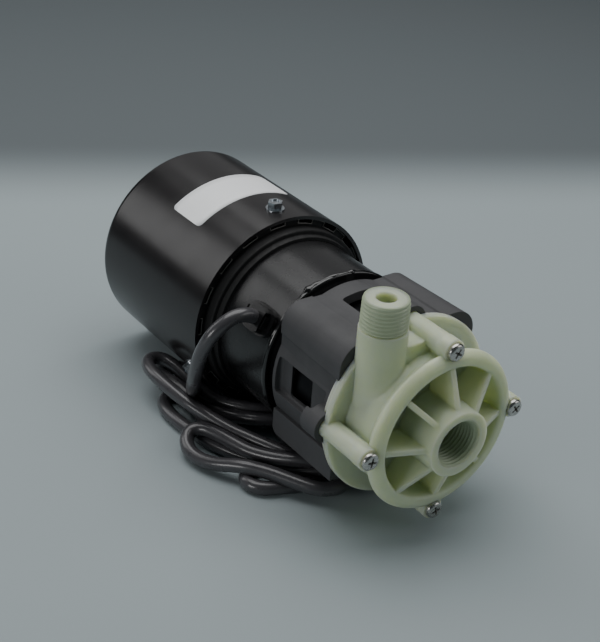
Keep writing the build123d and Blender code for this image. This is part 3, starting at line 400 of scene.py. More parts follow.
def apply_modifiers(piece: bpy.types.Object) -> None:
    """Turn what a piece's modifiers make of it into its mesh.

    Args:
        piece: The piece.
    """
    bpy.context.view_layer.update()
    finished = bpy.data.meshes.new_from_object(piece.evaluated_get(bpy.context.evaluated_depsgraph_get()))
    piece.modifiers.clear()
    piece.data = finished


def new_piece(
    name: str, points: list[Vector], faces: list[tuple[int, ...]], finish: Finish, slot: str | None,
    smooth: bool = True,
) -> bpy.types.Object:
    """Make one mesh piece, dress it and, where it has a slot, let it ride on the housing.

    Args:
        name: The piece's name.
        points: Its corners, in metres.
        faces: Corner numbers of each face.
        finish: What it is made of.
        slot: The record's material slot, or None for a cutting tool.
        smooth: Whether its faces shade smoothly.

    Returns:
        The new object.
    """
    mesh = bpy.data.meshes.new(name)
    mesh.from_pydata([tuple(p) for p in points], [], faces)
    shape = bmesh.new()
    shape.from_mesh(mesh)
    bmesh.ops.recalc_face_normals(shape, faces=shape.faces)
    shape.to_mesh(mesh)
    shape.free()
    mesh.materials.append(finish.build())
    piece = add_object(name, mesh)
    if smooth:
        mesh.shade_smooth()
    if slot:
        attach(piece, "housing")
    return piece


def ring_faces(rings: int, around: int, closed: bool) -> list[tuple[int, ...]]:
    """Join rings of corners with four-sided faces.

    Args:
        rings: How many rings there are.
        around: How many corners each ring has.
        closed: Whether the last ring joins the first.

    Returns:
        Corner numbers of each face.
    """
    faces = []
    for ring in range(rings if closed else rings - 1):
        low, high = ring * around, ((ring + 1) % rings) * around
        for k in range(around):
            step = (k + 1) % around
            faces.append((low + k, low + step, high + step, high + k))
    return faces


def around_shaft(radius: float, angle: float, y: float) -> Vector:
    """Place a point by its distance from the shaft's axis.

    Args:
        radius: Distance from the axis.
        angle: Angle in degrees from +X towards +Z.
        y: Distance along the shaft from the inlet's mouth.

    Returns:
        The point in the pump's frame.
    """
    return Vector((radius * cos(radians(angle)), y, radius * sin(radians(angle))))


@dataclass
class CameraRig:
    """The camera, placed by what it looks at; its angles are in degrees."""

    azimuth: float = -37.568
    elevation: float = 29.553
    roll: float = 4.329
    distance: float = 666.774 * MM
    aim: tuple[float, float, float] = (0.868 * MM, 121.193 * MM, 0.930 * MM)
    lens_mm: float = 75.18

    def axes(self) -> tuple[Vector, Vector, Vector]:
        """Work out the camera's right, up and backward directions.

        Returns:
            Three unit vectors.
        """
        turn, lift, roll = radians(self.azimuth), radians(self.elevation), radians(self.roll)
        back = Vector((sin(turn) * cos(lift), -cos(turn) * cos(lift), sin(lift)))
        right = Vector((cos(turn), sin(turn), 0.0))
        up = back.cross(right)
        return cos(roll) * right + sin(roll) * up, cos(roll) * up - sin(roll) * right, back

    def build(self) -> bpy.types.Object:
        """Make the camera and look through it.

        Returns:
            The camera's object.
        """
        right, up, back = self.axes()
        lens = bpy.data.cameras.new("view")
        lens.lens = self.lens_mm
        lens.sensor_width = 36.0
        lens.clip_start = 0.05
        lens.clip_end = 20.0
        camera = add_object("view", lens)
        place = Matrix((right, up, back)).transposed().to_4x4()
        place.translation = Vector(self.aim) + back * self.distance
        camera.matrix_world = place
        bpy.context.scene.camera = camera
        return camera


@dataclass
class Lamp:
    """One soft white light panel that faces the pump."""

    name: str
    place: tuple[float, float, float]
    width: float
    height: float
    watts: float
    target: tuple[float, float, float] = (0.0, 0.11, 0.0)

    def build(self) -> None:
        """Hang the panel and turn it to its target."""
        panel = bpy.data.lights.new(self.name, "AREA")
        panel.shape = "RECTANGLE"
        panel.size = self.width
        panel.size_y = self.height
        panel.energy = self.watts
        lamp = add_object(self.name, panel)
        lamp.location = self.place
        lamp.rotation_euler = (Vector(self.target) - Vector(self.place)).to_track_quat("-Z", "Y").to_euler()


@dataclass(frozen=True)
class BackdropPaper:
    """Matte grey backdrop paper with painted shade: its colour darkens beyond a line behind the pump,
    standing for the light falling off there.

    Attributes:
        near: Colour under the pump, sRGB hex.
        far: Colour of the painted shade beyond the light, sRGB hex.
        start: Distance behind the pump's middle where the painted shade begins.
        end: Distance where the painted shade is darkest.
    """

    near: str = "a2adb0"
    far: str = "666d70"
    start: float = 0.245
    end: float = 0.36

    def build(self) -> bpy.types.Material:
        """Make the paper's material.

        Returns:
            The material, whose colour darkens along the paper's own length as painted shade.
        """
        material = bpy.data.materials.new("backdrop_paper_painted_shade")
        material.use_nodes = True
        tree = material.node_tree
        shader = tree.nodes["Principled BSDF"]
        place = add_node(tree, "TexCoord").outputs["Object"]
        reach = add_node(tree, "SeparateXYZ", Vector=place).outputs["Y"]
        # Painted shade: the colour turns from near to far along the paper's length, standing for the light
        # falling off behind the pump
        share = add_node(
            tree, "MapRange", {"interpolation_type": "SMOOTHSTEP"}, Value=reach, From_Min=self.start,
            From_Max=self.end,
        )
        painted_shade_tone = add_node(
            tree, "Mix", {"data_type": "RGBA"}, Factor=share.outputs["Result"], A=linear(self.near),
            B=linear(self.far),
        )
        tree.links.new(painted_shade_tone.outputs[2], shader.inputs["Base Color"])
        fibres = add_node(tree, "TexNoise", Vector=place, Scale=1 / (1.2 * MM), Detail=3.0)
        bump = add_node(tree, "Bump", Height=fibres.outputs["Fac"], Distance=0.01 * MM, Strength=0.5)
        tree.links.new(bump.outputs["Normal"], shader.inputs["Normal"])
        shader.inputs["Roughness"].default_value = 0.85
        shader.inputs["Specular IOR Level"].default_value = 0.25
        return material


@dataclass
class Studio:
    """A sheet of grey backdrop paper that sweeps up far behind the pump, and soft lights."""

    front: float = 1.6
    side: float = 2.4
    sweep_start: float = 1.5
    sweep_radius: float = 0.6
    wall: float = 1.4
    heading: float = -27.2
    middle: float = 0.12
    floor_steps: int = 8
    sweep_steps: int = 24
    paper: BackdropPaper = BackdropPaper()

    def profile(self) -> list[tuple[float, float]]:
        """Trace the paper from the front edge over the floor and up the wall.

        Returns:
            Distance away from the camera and height of each point.
        """
        reach, steps = self.front + self.sweep_start, self.floor_steps
        flat = [(-self.front + k * reach / steps, 0.0) for k in range(steps + 1)]
        bend = [
            (self.sweep_start + self.sweep_radius * sin(a), self.sweep_radius * (1 - cos(a)))
            for a in (k * pi / 2 / self.sweep_steps for k in range(1, self.sweep_steps + 1))
        ]
        return flat + bend + [(self.sweep_start + self.sweep_radius, self.sweep_radius + self.wall)]

    def lay_paper(self) -> None:
        """Lay the paper with its length away from the camera."""
        mesh = bpy.data.meshes.new("backdrop_paper")
        points = [
            (side, reach, height) for reach, height in self.profile() for side in (-self.side, self.side)
        ]
        faces = [(k, k + 1, k + 3, k + 2) for k in range(0, len(points) - 2, 2)]
        mesh.from_pydata(points, [], faces)
        mesh.shade_smooth()
        mesh.materials.append(self.paper.build())
        paper = add_object("backdrop_paper", mesh)
        paper.location = (0.0, self.middle, FLOOR_Z)
        paper.rotation_euler = (0.0, 0.0, radians(self.heading))

    def build(self) -> None:
        """Lay the paper, hang the lights and set the room's dim light."""
        self.lay_paper()
        for lamp in (
            Lamp("overhead_panel", (0.12, 0.32, 0.95), 1.25, 0.9, 10.0),
            Lamp("left_back_panel", (-0.64, 1.03, 0.57), 0.44, 0.80, 1.9),
            Lamp("right_back_panel", (0.52, 1.15, 0.60), 1.15, 0.95, 0.85),
            Lamp("top_back_panel", (0.29, 1.09, 0.93), 0.25, 0.25, 0.2),
            Lamp("right_panel", (0.95, -0.75, 0.55), 0.8, 0.8, 2.9),
            Lamp("left_panel", (-1.05, 0.0, 0.25), 0.45, 0.3, 2.2),
        ):
            lamp.build()
        world = bpy.data.worlds.new("room")
        world.use_nodes = True
        world.node_tree.nodes["Background"].inputs["Color"].default_value = linear("a9b6bb")
        world.node_tree.nodes["Background"].inputs["Strength"].default_value = 0.12
        bpy.context.scene.world = world


class ThreadSide(Enum):
    """Which face of a sleeve carries the thread."""

    OUTSIDE = 1
    INSIDE = -1


@dataclass
class PipeThread:
    """A moulded half-inch pipe thread, as a closed sleeve with one threaded face.

    Attributes:
        name: The piece's name.
        side: Which face carries the thread.
        mouth: Centre of the threaded end's face.
        inward: Direction from the mouth along the thread.
        valley: Radius of the thread's root.
        ridge: Height of the thread above its root.
        gain: How much higher the last turn is than the first.
        taper: How far the root leans towards the crests over the length.
        root_share: Share of half a turn that the flat root takes.
        flank_share: Share that the flank takes.
        back: Radius of the sleeve's hidden face.
        length: Length of the sleeve.
        lead_in: Length over which the first turn rises.
        run_out: Length over which the last turn fades.
    """

    name: str
    side: ThreadSide
    mouth: Vector
    inward: Vector
    valley: float
    ridge: float
    gain: float
    back: float
    length: float
    lead_in: float
    run_out: float
    taper: float = 0.0
    pitch: float = 1.814 * MM
    around: int = 96
    rows_per_turn: int = 12
    root_share: float = 0.14
    flank_share: float = 0.70

    def radius(self, angle: float, depth: float) -> float:
        """Find the threaded face's radius at one place.

        Args:
            angle: Angle about the thread's axis, in radians.
            depth: Distance from the mouth.

        Returns:
            The radius there.
        """
        wave = 1.0 - abs(2.0 * ((depth / self.pitch - angle / tau) % 1.0) - 1.0)
        flank = min(1.0, max(0.0, (wave - self.root_share) / self.flank_share))
        fade = min(1.0, depth / self.lead_in) * min(1.0, (self.length - depth) / self.run_out)
        height = self.ridge + self.gain * depth / self.length
        lean = self.taper * depth / self.length
        return self.valley + self.side.value * (lean + height * flank * max(0.0, fade))

    def build(self) -> bpy.types.Object:
        """Make the sleeve.

        Returns:
            The threaded piece.
        """
        turn = self.inward.to_track_quat("Z", "Y").to_matrix()
        rows = round(self.length / self.pitch * self.rows_per_turn)
        depths = [self.length * r / rows for r in range(rows + 1)]
        rings = [[(self.radius(tau * k / self.around, d), d) for k in range(self.around)] for d in depths]
        rings += [[(self.back, self.length)] * self.around, [(self.back, 0.0)] * self.around]
        points = []
        for ring in rings:
            for k, (radius, depth) in enumerate(ring):
                angle = tau * k / self.around
                points.append(self.mouth + turn @ Vector((radius * cos(angle), radius * sin(angle), depth)))
        return new_piece(
            self.name, points, ring_faces(len(rings), self.around, True), THREADED_POLYPROPYLENE,
            "head_plastic",
        )


def lathe(name: str, section: list[tuple[float, float]], around: int = 160) -> bpy.types.Object:
    """Turn a closed section about the shaft's axis.

    Args:
        name: The tool's name.
        section: Radius and distance along the shaft of each corner.
        around: Number of steps round the axis.

    Returns:
        A closed ring to cut with.
    """
    points = [around_shaft(radius, 360.0 * k / around, y) for k in range(around) for radius, y in section]
    faces = ring_faces(around, len(section), True)
    return new_piece(name, points, faces, GLASS_FILLED_POLYPROPYLENE, None, False)


def rod(
    name: str, start: Vector, end: Vector, start_radius: float, end_radius: float, around: int = 48,
) -> bpy.types.Object:
    """Make a closed round bar between two points.

    Args:
        name: The tool's name.
        start: Centre of its first end.
        end: Centre of its last end.
        start_radius: Radius at the start.
        end_radius: Radius at the end.
        around: Number of sides.

    Returns:
        A closed bar to cut with.
    """
    turn = (end - start).to_track_quat("Z", "Y").to_matrix()
    points = []
    for centre, radius in ((start, start_radius), (end, end_radius)):
        for k in range(around):
            angle = tau * k / around
            points.append(centre + turn @ Vector((radius * cos(angle), radius * sin(angle), 0.0)))
    faces = ring_faces(2, around, False) + [tuple(range(around)), tuple(range(around, 2 * around))]
    return new_piece(name, points, faces, GLASS_FILLED_POLYPROPYLENE, None, False)


def slab(name: str, low: Vector, high: Vector, corner: float) -> bpy.types.Object:
    """Make a closed block with rounded edges.

    Args:
        name: The tool's name.
        low: Its lowest corner.
        high: Its highest corner.
        corner: Radius of its edges.

    Returns:
        A closed block to cut with.
    """
    mesh = bpy.data.meshes.new(name)
    shape = bmesh.new()
    bmesh.ops.create_cube(shape, size=1.0)
    for corner_point in shape.verts:
        corner_point.co = Vector(high[k] if corner_point.co[k] > 0 else low[k] for k in range(3))
    bmesh.ops.bevel(shape, geom=shape.edges[:], offset=corner, segments=4, affect="EDGES", profile=0.5)
    shape.to_mesh(mesh)
    shape.free()
    return add_object(name, mesh)


def cut_away(body: bpy.types.Object, tool: bpy.types.Object) -> None:
    """Cut a tool out of a body and throw the tool away.

    Args:
        body: The piece that is cut.
        tool: The closed shape that is taken away.
    """
    cut = body.modifiers.new("cut", "BOOLEAN")
    cut.operation = "DIFFERENCE"
    cut.solver = "EXACT"
    cut.object = tool
    apply_modifiers(body)
    bpy.data.objects.remove(tool)


# How a carved solid is cleaned and shaded: corners joined, flat faces merged, hard edges kept hard
JOIN_DISTANCE = 0.001 * MM
FLAT_WITHIN = radians(0.5)
HARD_EDGE = radians(28)
BROAD_FACE_WEIGHT = 80


def copy_solid(node: str, name: str) -> bpy.types.Object:
    """Copy one solid's mesh as a closed piece of its own.

    Args:
        node: The solid's name.
        name: The new piece's name.

    Returns:
        The copy, with its loose corners joined.
    """
    mesh = frame["nodes"][node].data.copy()
    mesh.name = name
    shape = bmesh.new()
    shape.from_mesh(mesh)
    bmesh.ops.remove_doubles(shape, verts=shape.verts, dist=JOIN_DISTANCE)
    shape.to_mesh(mesh)
    shape.free()
    return add_object(name, mesh)


def settle(piece: bpy.types.Object, node: str, slot: str) -> bpy.types.Object:
    """Finish a carved copy so that it stands for its solid.

    Args:
        piece: The carved copy.
        node: The solid that it stands for.
        slot: The record's material slot.

    Returns:
        The same piece.
    """
    shape = bmesh.new()
    shape.from_mesh(piece.data)
    bmesh.ops.dissolve_limit(shape, angle_limit=FLAT_WITHIN, verts=shape.verts, edges=shape.edges)
    shape.to_mesh(piece.data)
    shape.free()
    piece.data.materials.clear()
    piece.data.materials.append(FINISHES[slot].build())
    piece.data.shade_smooth()
    piece.data.set_sharp_from_angle(angle=HARD_EDGE)
    weighted = piece.modifiers.new("flat faces stay flat", "WEIGHTED_NORMAL")
    weighted.keep_sharp = True
    weighted.weight = BROAD_FACE_WEIGHT
    apply_modifiers(piece)
    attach(piece, "housing")
    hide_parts(node)
    return piece


@dataclass
class PumpHead:
    """The moulded head, with the valley that runs behind its front rim, round the bosses and the neck.

    Attributes:
        rim_rear: Where the front rim ends, along the shaft, and the valley begins.
        valley_front: Where the valley reaches its full depth.
        valley_rear: Where it meets the flange.
        outer_radius: Radius beyond everything that is cut.
        lip: How far the valley's two corners stand out from their cylinders.
        edge_rise: Length of the slope at the rim's rear edge.
        floor_rise: Length of the slope into the valley's floor.
        boss_circle: Radius on which the screw bosses stand.
        collar_radius: Radius kept round each boss's wider front.
        rib_inset: How far inside the boss circle the rib to each boss stands.
        neck_top: Height to which the outlet's neck is kept.
        web_low_mm: Lowest corner of the web between the neck and the top boss.
        overlap: How far a boss is kept into its collar.
        mouth_radius: Radius of the seat of the inlet's thread.
        sink_width: How much wider the inlet's countersink is at its mouth.
    """

    rim_rear: float = 14.0 * MM
    valley_front: float = 19.0 * MM
    valley_rear: float = 36.12 * MM
    rim_radius: float = 39.9 * MM
    valley_radius: float = 35.6 * MM
    outer_radius: float = 47.0 * MM
    lip: float = 0.6 * MM
    edge_rise: float = 0.5 * MM
    floor_rise: float = 1.2 * MM
    boss_circle: float = 41.7 * MM
    boss_radius: float = 5.06 * MM
    collar_radius: float = 5.36 * MM
    collar_front_mm: float = 5.0
    collar_rear: float = 17.4 * MM
    boss_rear_mm: float = 45.0
    rib_inset: float = 4.2 * MM
    rib_radius: float = 2.4 * MM
    rib_front_mm: float = 10.0
    neck_x: float = -22.0 * MM
    neck_y: float = 33.0 * MM
    neck_top: float = 56.0 * MM
    neck_foot_radius: float = 11.62 * MM
    neck_top_radius: float = 11.05 * MM
    web_low_mm: tuple[float, float, float] = (-22.0, 24.1, 28.0)
    web_high_mm: tuple[float, float, float] = (0.0, 34.3, 42.0)
    web_corner: float = 0.3 * MM
    overlap: float = 0.3 * MM
    mouth_radius: float = 11.25 * MM
    sink_width: float = 1.1 * MM
    seat_depth: float = 15.8 * MM

    def keep_boss(self, tool: bpy.types.Object, angle: float) -> None:
        """Leave one screw boss, its collar and its rib out of the cut.

        Args:
            tool: The ring that cuts the valley.
            angle: The boss's angle about the shaft, in degrees.
        """
        centre = around_shaft(self.boss_circle, angle, 0.0)
        root = around_shaft(self.boss_circle - self.rib_inset, angle, 0.0)
        collar_start = ALONG_SHAFT * self.collar_front_mm * MM
        collar_end = ALONG_SHAFT * self.collar_rear
        boss_start = ALONG_SHAFT * (self.collar_rear - self.overlap)
        rib_start = ALONG_SHAFT * self.rib_front_mm * MM
        rear = ALONG_SHAFT * self.boss_rear_mm * MM
        for name, start, end, radius, around in (
            ("collar_tool", centre + collar_start, centre + collar_end, self.collar_radius, 48),
            ("boss_tool", centre + boss_start, centre + rear, self.boss_radius, 48),
            ("rib_tool", root + rib_start, root + rear, self.rib_radius, 24),
        ):
            cut_away(tool, rod(name, start, end, radius, radius, around))

    def valley(self) -> bpy.types.Object:
        """Shape the tool that cuts the valley.

        Returns:
            A ring that leaves the bosses, the neck and its web standing.
        """
        front = self.rim_rear - self.edge_rise
        tool = lathe(
            "valley_tool",
            [
                (self.outer_radius, front), (self.rim_radius + self.lip, front),
                (self.rim_radius, self.rim_rear),
                (self.valley_radius + self.lip, self.valley_front - self.floor_rise),
                (self.valley_radius, self.valley_front), (self.valley_radius, self.valley_rear),
                (self.outer_radius, self.valley_rear),
            ],
        )
        for quarter in range(4):
            self.keep_boss(tool, 90.0 * quarter)
        foot = Vector((self.neck_x, self.neck_y, 0.0))
        top = Vector((self.neck_x, self.neck_y, self.neck_top))
        cut_away(tool, rod("neck_tool", foot, top, self.neck_foot_radius, self.neck_top_radius, 96))
        low, high = Vector(self.web_low_mm) * MM, Vector(self.web_high_mm) * MM
        cut_away(tool, slab("web_tool", low, high, self.web_corner))
        return tool

    def build(self) -> bpy.types.Object:
        """Carve the head.

        Returns:
            The head.
        """
        head = copy_solid("front_housing", "pump_head")
        cut_away(head, self.valley())
        wide, bore = self.mouth_radius + self.sink_width, self.mouth_radius
        for name, start, end, radius in (
            ("sink_tool", ALONG_SHAFT * -0.3 * MM, ALONG_SHAFT * MM, wide),
            ("seat_tool", ALONG_SHAFT * 0.8 * MM, ALONG_SHAFT * self.seat_depth, bore),
        ):
            cut_away(head, rod(name, start, end, radius, bore, 96))
        return settle(head, "front_housing", "head_plastic")


@dataclass
class BracketBody:
    """The moulded bracket, with the long pocket in each side round its window.

    Attributes:
        floor: Distance of the pocket's floor from the shaft's plane.
        beyond: Distance to which the cut reaches outwards.
    """

    floor: float = 36.4 * MM
    beyond: float = 46.0 * MM
    front: float = 47.25 * MM
    rear: float = 83.4 * MM
    low: float = -6.3 * MM
    high: float = 12.4 * MM
    corner: float = 1.4 * MM

    def build(self) -> bpy.types.Object:
        """Carve the bracket.

        Returns:
            The bracket.
        """
        bracket = copy_solid("motor_bracket", "bracket_body")
        for side in (-1, 1):
            inner, outer = sorted((side * self.floor, side * self.beyond))
            low, high = Vector((inner, self.front, self.low)), Vector((outer, self.rear, self.high))
            cut_away(bracket, slab("pocket_tool", low, high, self.corner))
        return settle(bracket, "motor_bracket", "bracket_plastic")


@dataclass
class ToothEdgeHighlight:
    """A painted highlight: a pale line that outlines the air ring's teeth from the front, standing for the
    light along their edges.

    Attributes:
        share: Share of each step that its tooth takes.
        phase: Angle of the first tooth's middle, in degrees.
    """

    root_radius: float = 47.2 * MM
    tip_radius: float = 49.6 * MM
    front: float = 136.9 * MM
    teeth: int = 18
    share: float = 0.48
    phase: float = 86.0
    thickness: float = 0.28 * MM

    def build(self) -> bpy.types.Object:
        """Trace the teeth.

        Returns:
            The painted highlight, as one closed line.
        """
        step = 360.0 / self.teeth
        half = step * self.share / 2
        points = []
        for tooth in range(self.teeth):
            middle = self.phase + step * tooth
            points += [
                around_shaft(self.tip_radius, middle + half * t, self.front) for t in (-1.0, 0.0, 1.0)
            ]
            gap = step - 2 * half
            points += [
                around_shaft(self.root_radius, middle + half + gap * t, self.front) for t in (0.0, 0.5, 1.0)
            ]
        line = bpy.data.curves.new("tooth_edge_highlight", "CURVE")
        line.dimensions = "3D"
        line.bevel_depth = self.thickness
        line.bevel_resolution = 2
        spline = line.splines.new("POLY")
        spline.points.add(len(points) - 1)
        for corner, place in zip(spline.points, points):
            corner.co = (*place, 1.0)
        spline.use_cyclic_u = True
        # Pale colour: painted highlight along the teeth's edges
        line.materials.append(PAINTED_EDGE_HIGHLIGHT.build())
        edge = add_object("tooth_edge_highlight", line)
        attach(edge, "housing")
        return edge


@dataclass
class RatingLabel:
    """The bare white film label that wraps part of the fan shroud.

    Attributes:
        gap: Distance of its inner face from the shroud.
        thickness: Distance of its outer face from the shroud.
    """

    shroud_radius: float = 51.8 * MM
    gap: float = 0.02 * MM
    thickness: float = 0.14 * MM
    first_angle: float = 128.0
    last_angle: float = 65.0
    front: float = 165.5 * MM
    rear: float = 191.0 * MM
    corner: float = 2.6 * MM
    columns: int = 72
    rows: int = 6
    corner_steps: int = 8

    def inset(self, along: float, total: float) -> float:
        """Find how far a rounded corner draws the edge in.

        Args:
            along: Distance from the label's first end.
            total: The label's whole length.

        Returns:
            The distance from the straight edge.
        """
        gap = min(along, total - along)
        if gap >= self.corner:
            return 0.0
        return self.corner - (self.corner ** 2 - (self.corner - gap) ** 2) ** 0.5

    def build(self) -> bpy.types.Object:
        """Make the label as a thin closed film.

        Returns:
            The label.
        """
        total = radians(self.first_angle - self.last_angle) * self.shroud_radius
        steps = self.corner_steps
        ends = [self.corner * (1 - cos(pi / 2 * k / steps)) for k in range(steps + 1)]
        middle = [
            self.corner + (total - 2 * self.corner) * k / self.columns for k in range(1, self.columns)
        ]
        places = ends + middle + [total - e for e in reversed(ends)]
        sheets = []
        for lift in (self.gap, self.thickness):
            for along in places:
                angle = self.first_angle - (self.first_angle - self.last_angle) * along / total
                draw = self.inset(along, total)
                low, high = self.front + draw, self.rear - draw
                sheets += [
                    around_shaft(self.shroud_radius + lift, angle, low + (high - low) * r / self.rows)
                    for r in range(self.rows + 1)
                ]
        wide, tall = len(places), self.rows + 1
        size = wide * tall
        faces = []
        for k in range(wide - 1):
            for r in range(self.rows):
                a = k * tall + r
                faces.append((a, a + 1, a + tall + 1, a + tall))
                faces.append(tuple(size + n for n in (a, a + tall, a + tall + 1, a + 1)))
            for a in (k * tall, k * tall + self.rows):
                faces.append((a, a + tall, size + a + tall, size + a))
        for start in (0, (wide - 1) * tall):
            for a in range(start, start + self.rows):
                faces.append((a, a + 1, size + a + 1, size + a))
        return new_piece("rating_label", sheets, faces, LABEL_FILM, "shroud_plastic")


@dataclass
class PottingRun:
    """Potting resin that welled up at the seam between the bracket and the motor, and set there.

    Attributes:
        thin: Radius of the bead between its drops.
        thin_mm: What of a drop's size belongs to the bead.
        fall_off: Base of the curve by which a drop falls off to its sides.
        ripple: Height of the small waves along the bead.
        wander: How far the bead strays from the seam.
        squash: How much flatter than wide the bead lies.
        drops: Angle, size in mm and spread in degrees of each drop.
    """

    seam_radius: float = 41.9 * MM
    seam_y: float = 91.2 * MM
    thin: float = 0.62 * MM
    thin_mm: float = 0.6
    fall_off: float = 2.718
    ripple: float = 0.06 * MM
    wander: float = 0.5 * MM
    squash: float = 0.8
    drops: tuple[tuple[float, float, float], ...] = (
        (116.0, 2.2, 3.0), (110.0, 1.4, 3.0), (97.0, 1.3, 5.0), (82.0, 1.5, 2.5), (150.0, 1.1, 6.0),
        (198.0, 1.4, 5.0), (232.0, 1.2, 4.0), (285.0, 1.5, 5.0), (330.0, 1.2, 4.0), (12.0, 1.3, 4.0),
        (40.0, 1.5, 3.5),
    )
    around: int = 360
    section: int = 10

    def thickness(self, angle: float) -> float:
        """Find the bead's radius at one place.

        Args:
            angle: Angle about the shaft, in degrees.

        Returns:
            The radius of its section.
        """
        swell = 0.0
        for centre, size, spread in self.drops:
            away = (angle - centre + 180.0) % 360.0 - 180.0
            swell += (size - self.thin_mm) * MM * self.fall_off ** (-((away / spread) ** 2))
        ripple = self.ripple * sin(radians(angle * 17)) * sin(radians(angle * 5 + 40))
        return self.thin + swell + ripple

    def build(self) -> bpy.types.Object:
        """Make the bead.

        Returns:
            The bead.
        """
        points = []
        for k in range(self.around):
            angle = 360.0 * k / self.around
            size = self.thickness(angle)
            drift = self.wander * sin(radians(angle * 7 + 25))
            for s in range(self.section):
                turn = tau * s / self.section
                radius = self.seam_radius + size * self.squash * cos(turn)
                points.append(around_shaft(radius, angle, self.seam_y + drift + size * sin(turn)))
        return new_piece(
            "potting_run", points, ring_faces(self.around, self.section, True), POTTING_RESIN, "potting",
        )


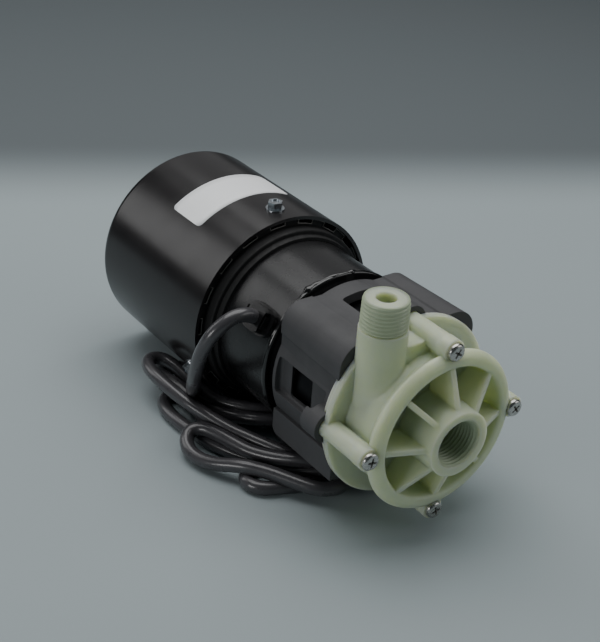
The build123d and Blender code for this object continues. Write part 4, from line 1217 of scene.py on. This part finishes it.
@dataclass
class MainsLead:
    """The lead: down from its strain relief, folded loosely under the pump, and on to its plug.

    Attributes:
        length: The whole lead's stated length; not used.
        drop_mm: Route from the strain relief down to the floor; the fields after it go on from there.
    """

    length: float = 1.5
    drop_mm: tuple[tuple[float, float, float], ...] = (
        (-41.14, 101.9, 24.72), (-46.29, 101.9, 27.81), (-54.5, 102.4, 26.6), (-61.8, 104.4, 20.0),
        (-65.3, 107.8, 9.5), (-64.6, 112.8, -2.2), (-61.2, 119.8, -13.4), (-56.2, 128.5, -24.0),
        (-50.0, 138.0, -33.2), (-43.5, 147.0, -41.0),
    )
    rear_loop_mm: tuple[tuple[float, float, float], ...] = (
        (-38, 155.5, -44), (-32.5, 165, -47.5), (-29.5, 174, -48.5), (-31.5, 182, -48.5), (-38.5, 185, -48),
        (-45.5, 181, -46), (-48, 171, -43.5), (-47.5, 159, -41.8), (-46.5, 147, -42), (-48, 133, -46),
        (-47, 117, -48.5), (-43, 102, -48.5), (-37.5, 87.5, -48.5), (-31, 74.5, -48.5), (-21, 65, -48.5),
    )
    under_pump_mm: tuple[tuple[float, float, float], ...] = (
        (-7, 61, -48.5), (9, 60.5, -48.5), (26, 63.5, -48.5), (41, 72, -48.5), (48, 87, -48.5),
        (45, 103, -48.5), (33.5, 115, -48.5), (17, 120.5, -48.5), (0, 119.5, -48.5), (-14, 113.5, -48.5),
        (-21, 101, -48.5), (-20, 86, -48.5), (-12, 74, -48.5), (2, 69, -48.5), (18, 69, -48.5),
        (32, 76, -48.5), (38.5, 89, -48.5), (34, 103, -48.5), (21, 111, -48.5), (5, 111.5, -48),
        (-9, 112.5, -45.5), (-22, 118, -42.5),
    )
    top_strand_mm: tuple[tuple[float, float, float], ...] = (
        (-32.5, 130, -43), (-37.5, 141, -43.5), (-39.5, 151.5, -41), (-41, 161, -39.5), (-42, 169.5, -38),
        (-45, 176.5, -36.5), (-51.5, 178, -35.2), (-56.5, 172.5, -34.8), (-58, 162, -35), (-57, 149, -36),
        (-55, 137, -37.5), (-51.5, 127, -39.5), (-46.5, 112, -41.5), (-41, 97, -41.5), (-35, 83, -41.5),
        (-28, 72, -42.5), (-17, 66.5, -44),
    )
    second_fold_mm: tuple[tuple[float, float, float], ...] = (
        (-4, 72.5, -43.3), (9, 76.5, -46), (22, 79.5, -48.5), (30.5, 88, -48.5), (28, 98.5, -48.5),
        (17, 103.5, -48.5), (3, 104, -47.5), (-10, 104, -44), (-22, 107.5, -42.5), (-31.5, 117, -44),
        (-36.5, 129, -47), (-38, 142, -48.5), (-40.5, 153, -48.5), (-46.5, 160, -48.5), (-54, 159, -48.5),
        (-58.5, 151, -48.5), (-59, 137, -48.5), (-56.5, 119, -48.5), (-51.5, 105, -48.5), (-45, 91, -48.5),
        (-37, 78, -48), (-30, 67, -46),
    )
    front_folds_mm: tuple[tuple[float, float, float], ...] = (
        (-22, 60, -43.5), (-18, 52, -43.5), (-25, 46.5, -43.8), (-35, 51.5, -44.5), (-42, 62.5, -43.5),
        (-49, 73.5, -42.5), (-57, 83.5, -42.5), (-64, 94, -46), (-68, 104.5, -47.5), (-68, 114, -46.5),
        (-63.5, 121, -44), (-57, 119.5, -42), (-53, 110, -41.7), (-50, 99.5, -42), (-46.5, 89, -42.5),
        (-39.5, 77, -41), (-30, 66, -38.5), (-21, 59.5, -40), (-14.5, 64.5, -43), (-22, 74.5, -45.5),
        (-34, 80.5, -47), (-45, 85, -48.5), (-54, 84, -48.5), (-57.5, 76.5, -48.5), (-53.5, 69.5, -48.5),
        (-45, 66, -48.5), (-34, 62, -48.5), (-21, 58, -48.5),
    )
    tail_mm: tuple[tuple[float, float, float], ...] = (
        (-7, 56.5, -48.5), (10, 56, -48.5), (27, 57.5, -48.5), (42, 63.5, -48.5), (53, 75, -48.5),
        (59, 90, -48.5), (61, 105, -46), (61, 119, -42), (61, 132, -42),
    )

    def build(self) -> bpy.types.Object:
        """Returns:
            The lead's curve.
        """
        route = (
            self.drop_mm + self.rear_loop_mm + self.under_pump_mm + self.top_strand_mm + self.second_fold_mm
            + self.front_folds_mm + self.tail_mm
        )
        line = bpy.data.curves.new("mains_lead", "CURVE")
        line.dimensions = "3D"
        line.bevel_depth = CORD_RADIUS
        line.bevel_resolution = 6
        line.resolution_u = 6
        line.use_fill_caps = True
        spline = line.splines.new("NURBS")
        spline.points.add(len(route) - 1)
        for point, place in zip(spline.points, route):
            point.co = (place[0] * MM, place[1] * MM, place[2] * MM, 1.0)
        spline.order_u = 3
        spline.use_endpoint_u = True
        line.materials.append(PVC_JACKET.build())
        lead = add_object("mains_lead", line)
        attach(lead, "housing")
        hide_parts("power_cord", "cord_tail", "cord_hank")
        return lead


@dataclass
class Dressing:
    """Gives every solid of the pump its finish."""

    nodes: dict[str, bpy.types.Object]
    parts: list[dict]

    def build(self) -> None:
        """Put the finish of its slot on each solid."""
        for part in self.parts:
            solid = self.nodes[part["node"]]
            solid.data.materials.clear()
            solid.data.materials.append(FINISHES[part["material_slot"]].build())


def main() -> None:
    """Dress the solids, add the pieces and set the studio."""
    Dressing(frame["nodes"], frame["record"]["subparts"]).build()
    log.info("dressed %d solids", len(frame["nodes"]))
    CameraRig().build()
    Studio().build()
    pieces = [
        MainsLead().build(),
        PipeThread(
            "outlet_thread", ThreadSide.OUTSIDE, Vector((-22.0, 33.0, 62.9)) * MM, Vector((0.0, 0.0, -1.0)),
            valley=9.97 * MM, ridge=0.42 * MM, gain=0.3 * MM, back=6.0 * MM, length=14.2 * MM,
            lead_in=1.3 * MM, run_out=0.5 * MM,
        ).build(),
        PipeThread(
            "inlet_thread", ThreadSide.INSIDE, Vector((0.0, 0.9, 0.0)) * MM, ALONG_SHAFT,
            valley=11.15 * MM, ridge=0.7 * MM, gain=0.0, back=12.6 * MM, length=15.0 * MM, lead_in=1.2 * MM,
            run_out=1.5 * MM, taper=0.85 * MM,
        ).build(),
        PumpHead().build(),
        BracketBody().build(),
        ToothEdgeHighlight().build(),
        RatingLabel().build(),
        PottingRun().build(),
    ]
    for piece in pieces:
        log.info("built %s", piece.name)


if __name__ == "__main__":
    main()
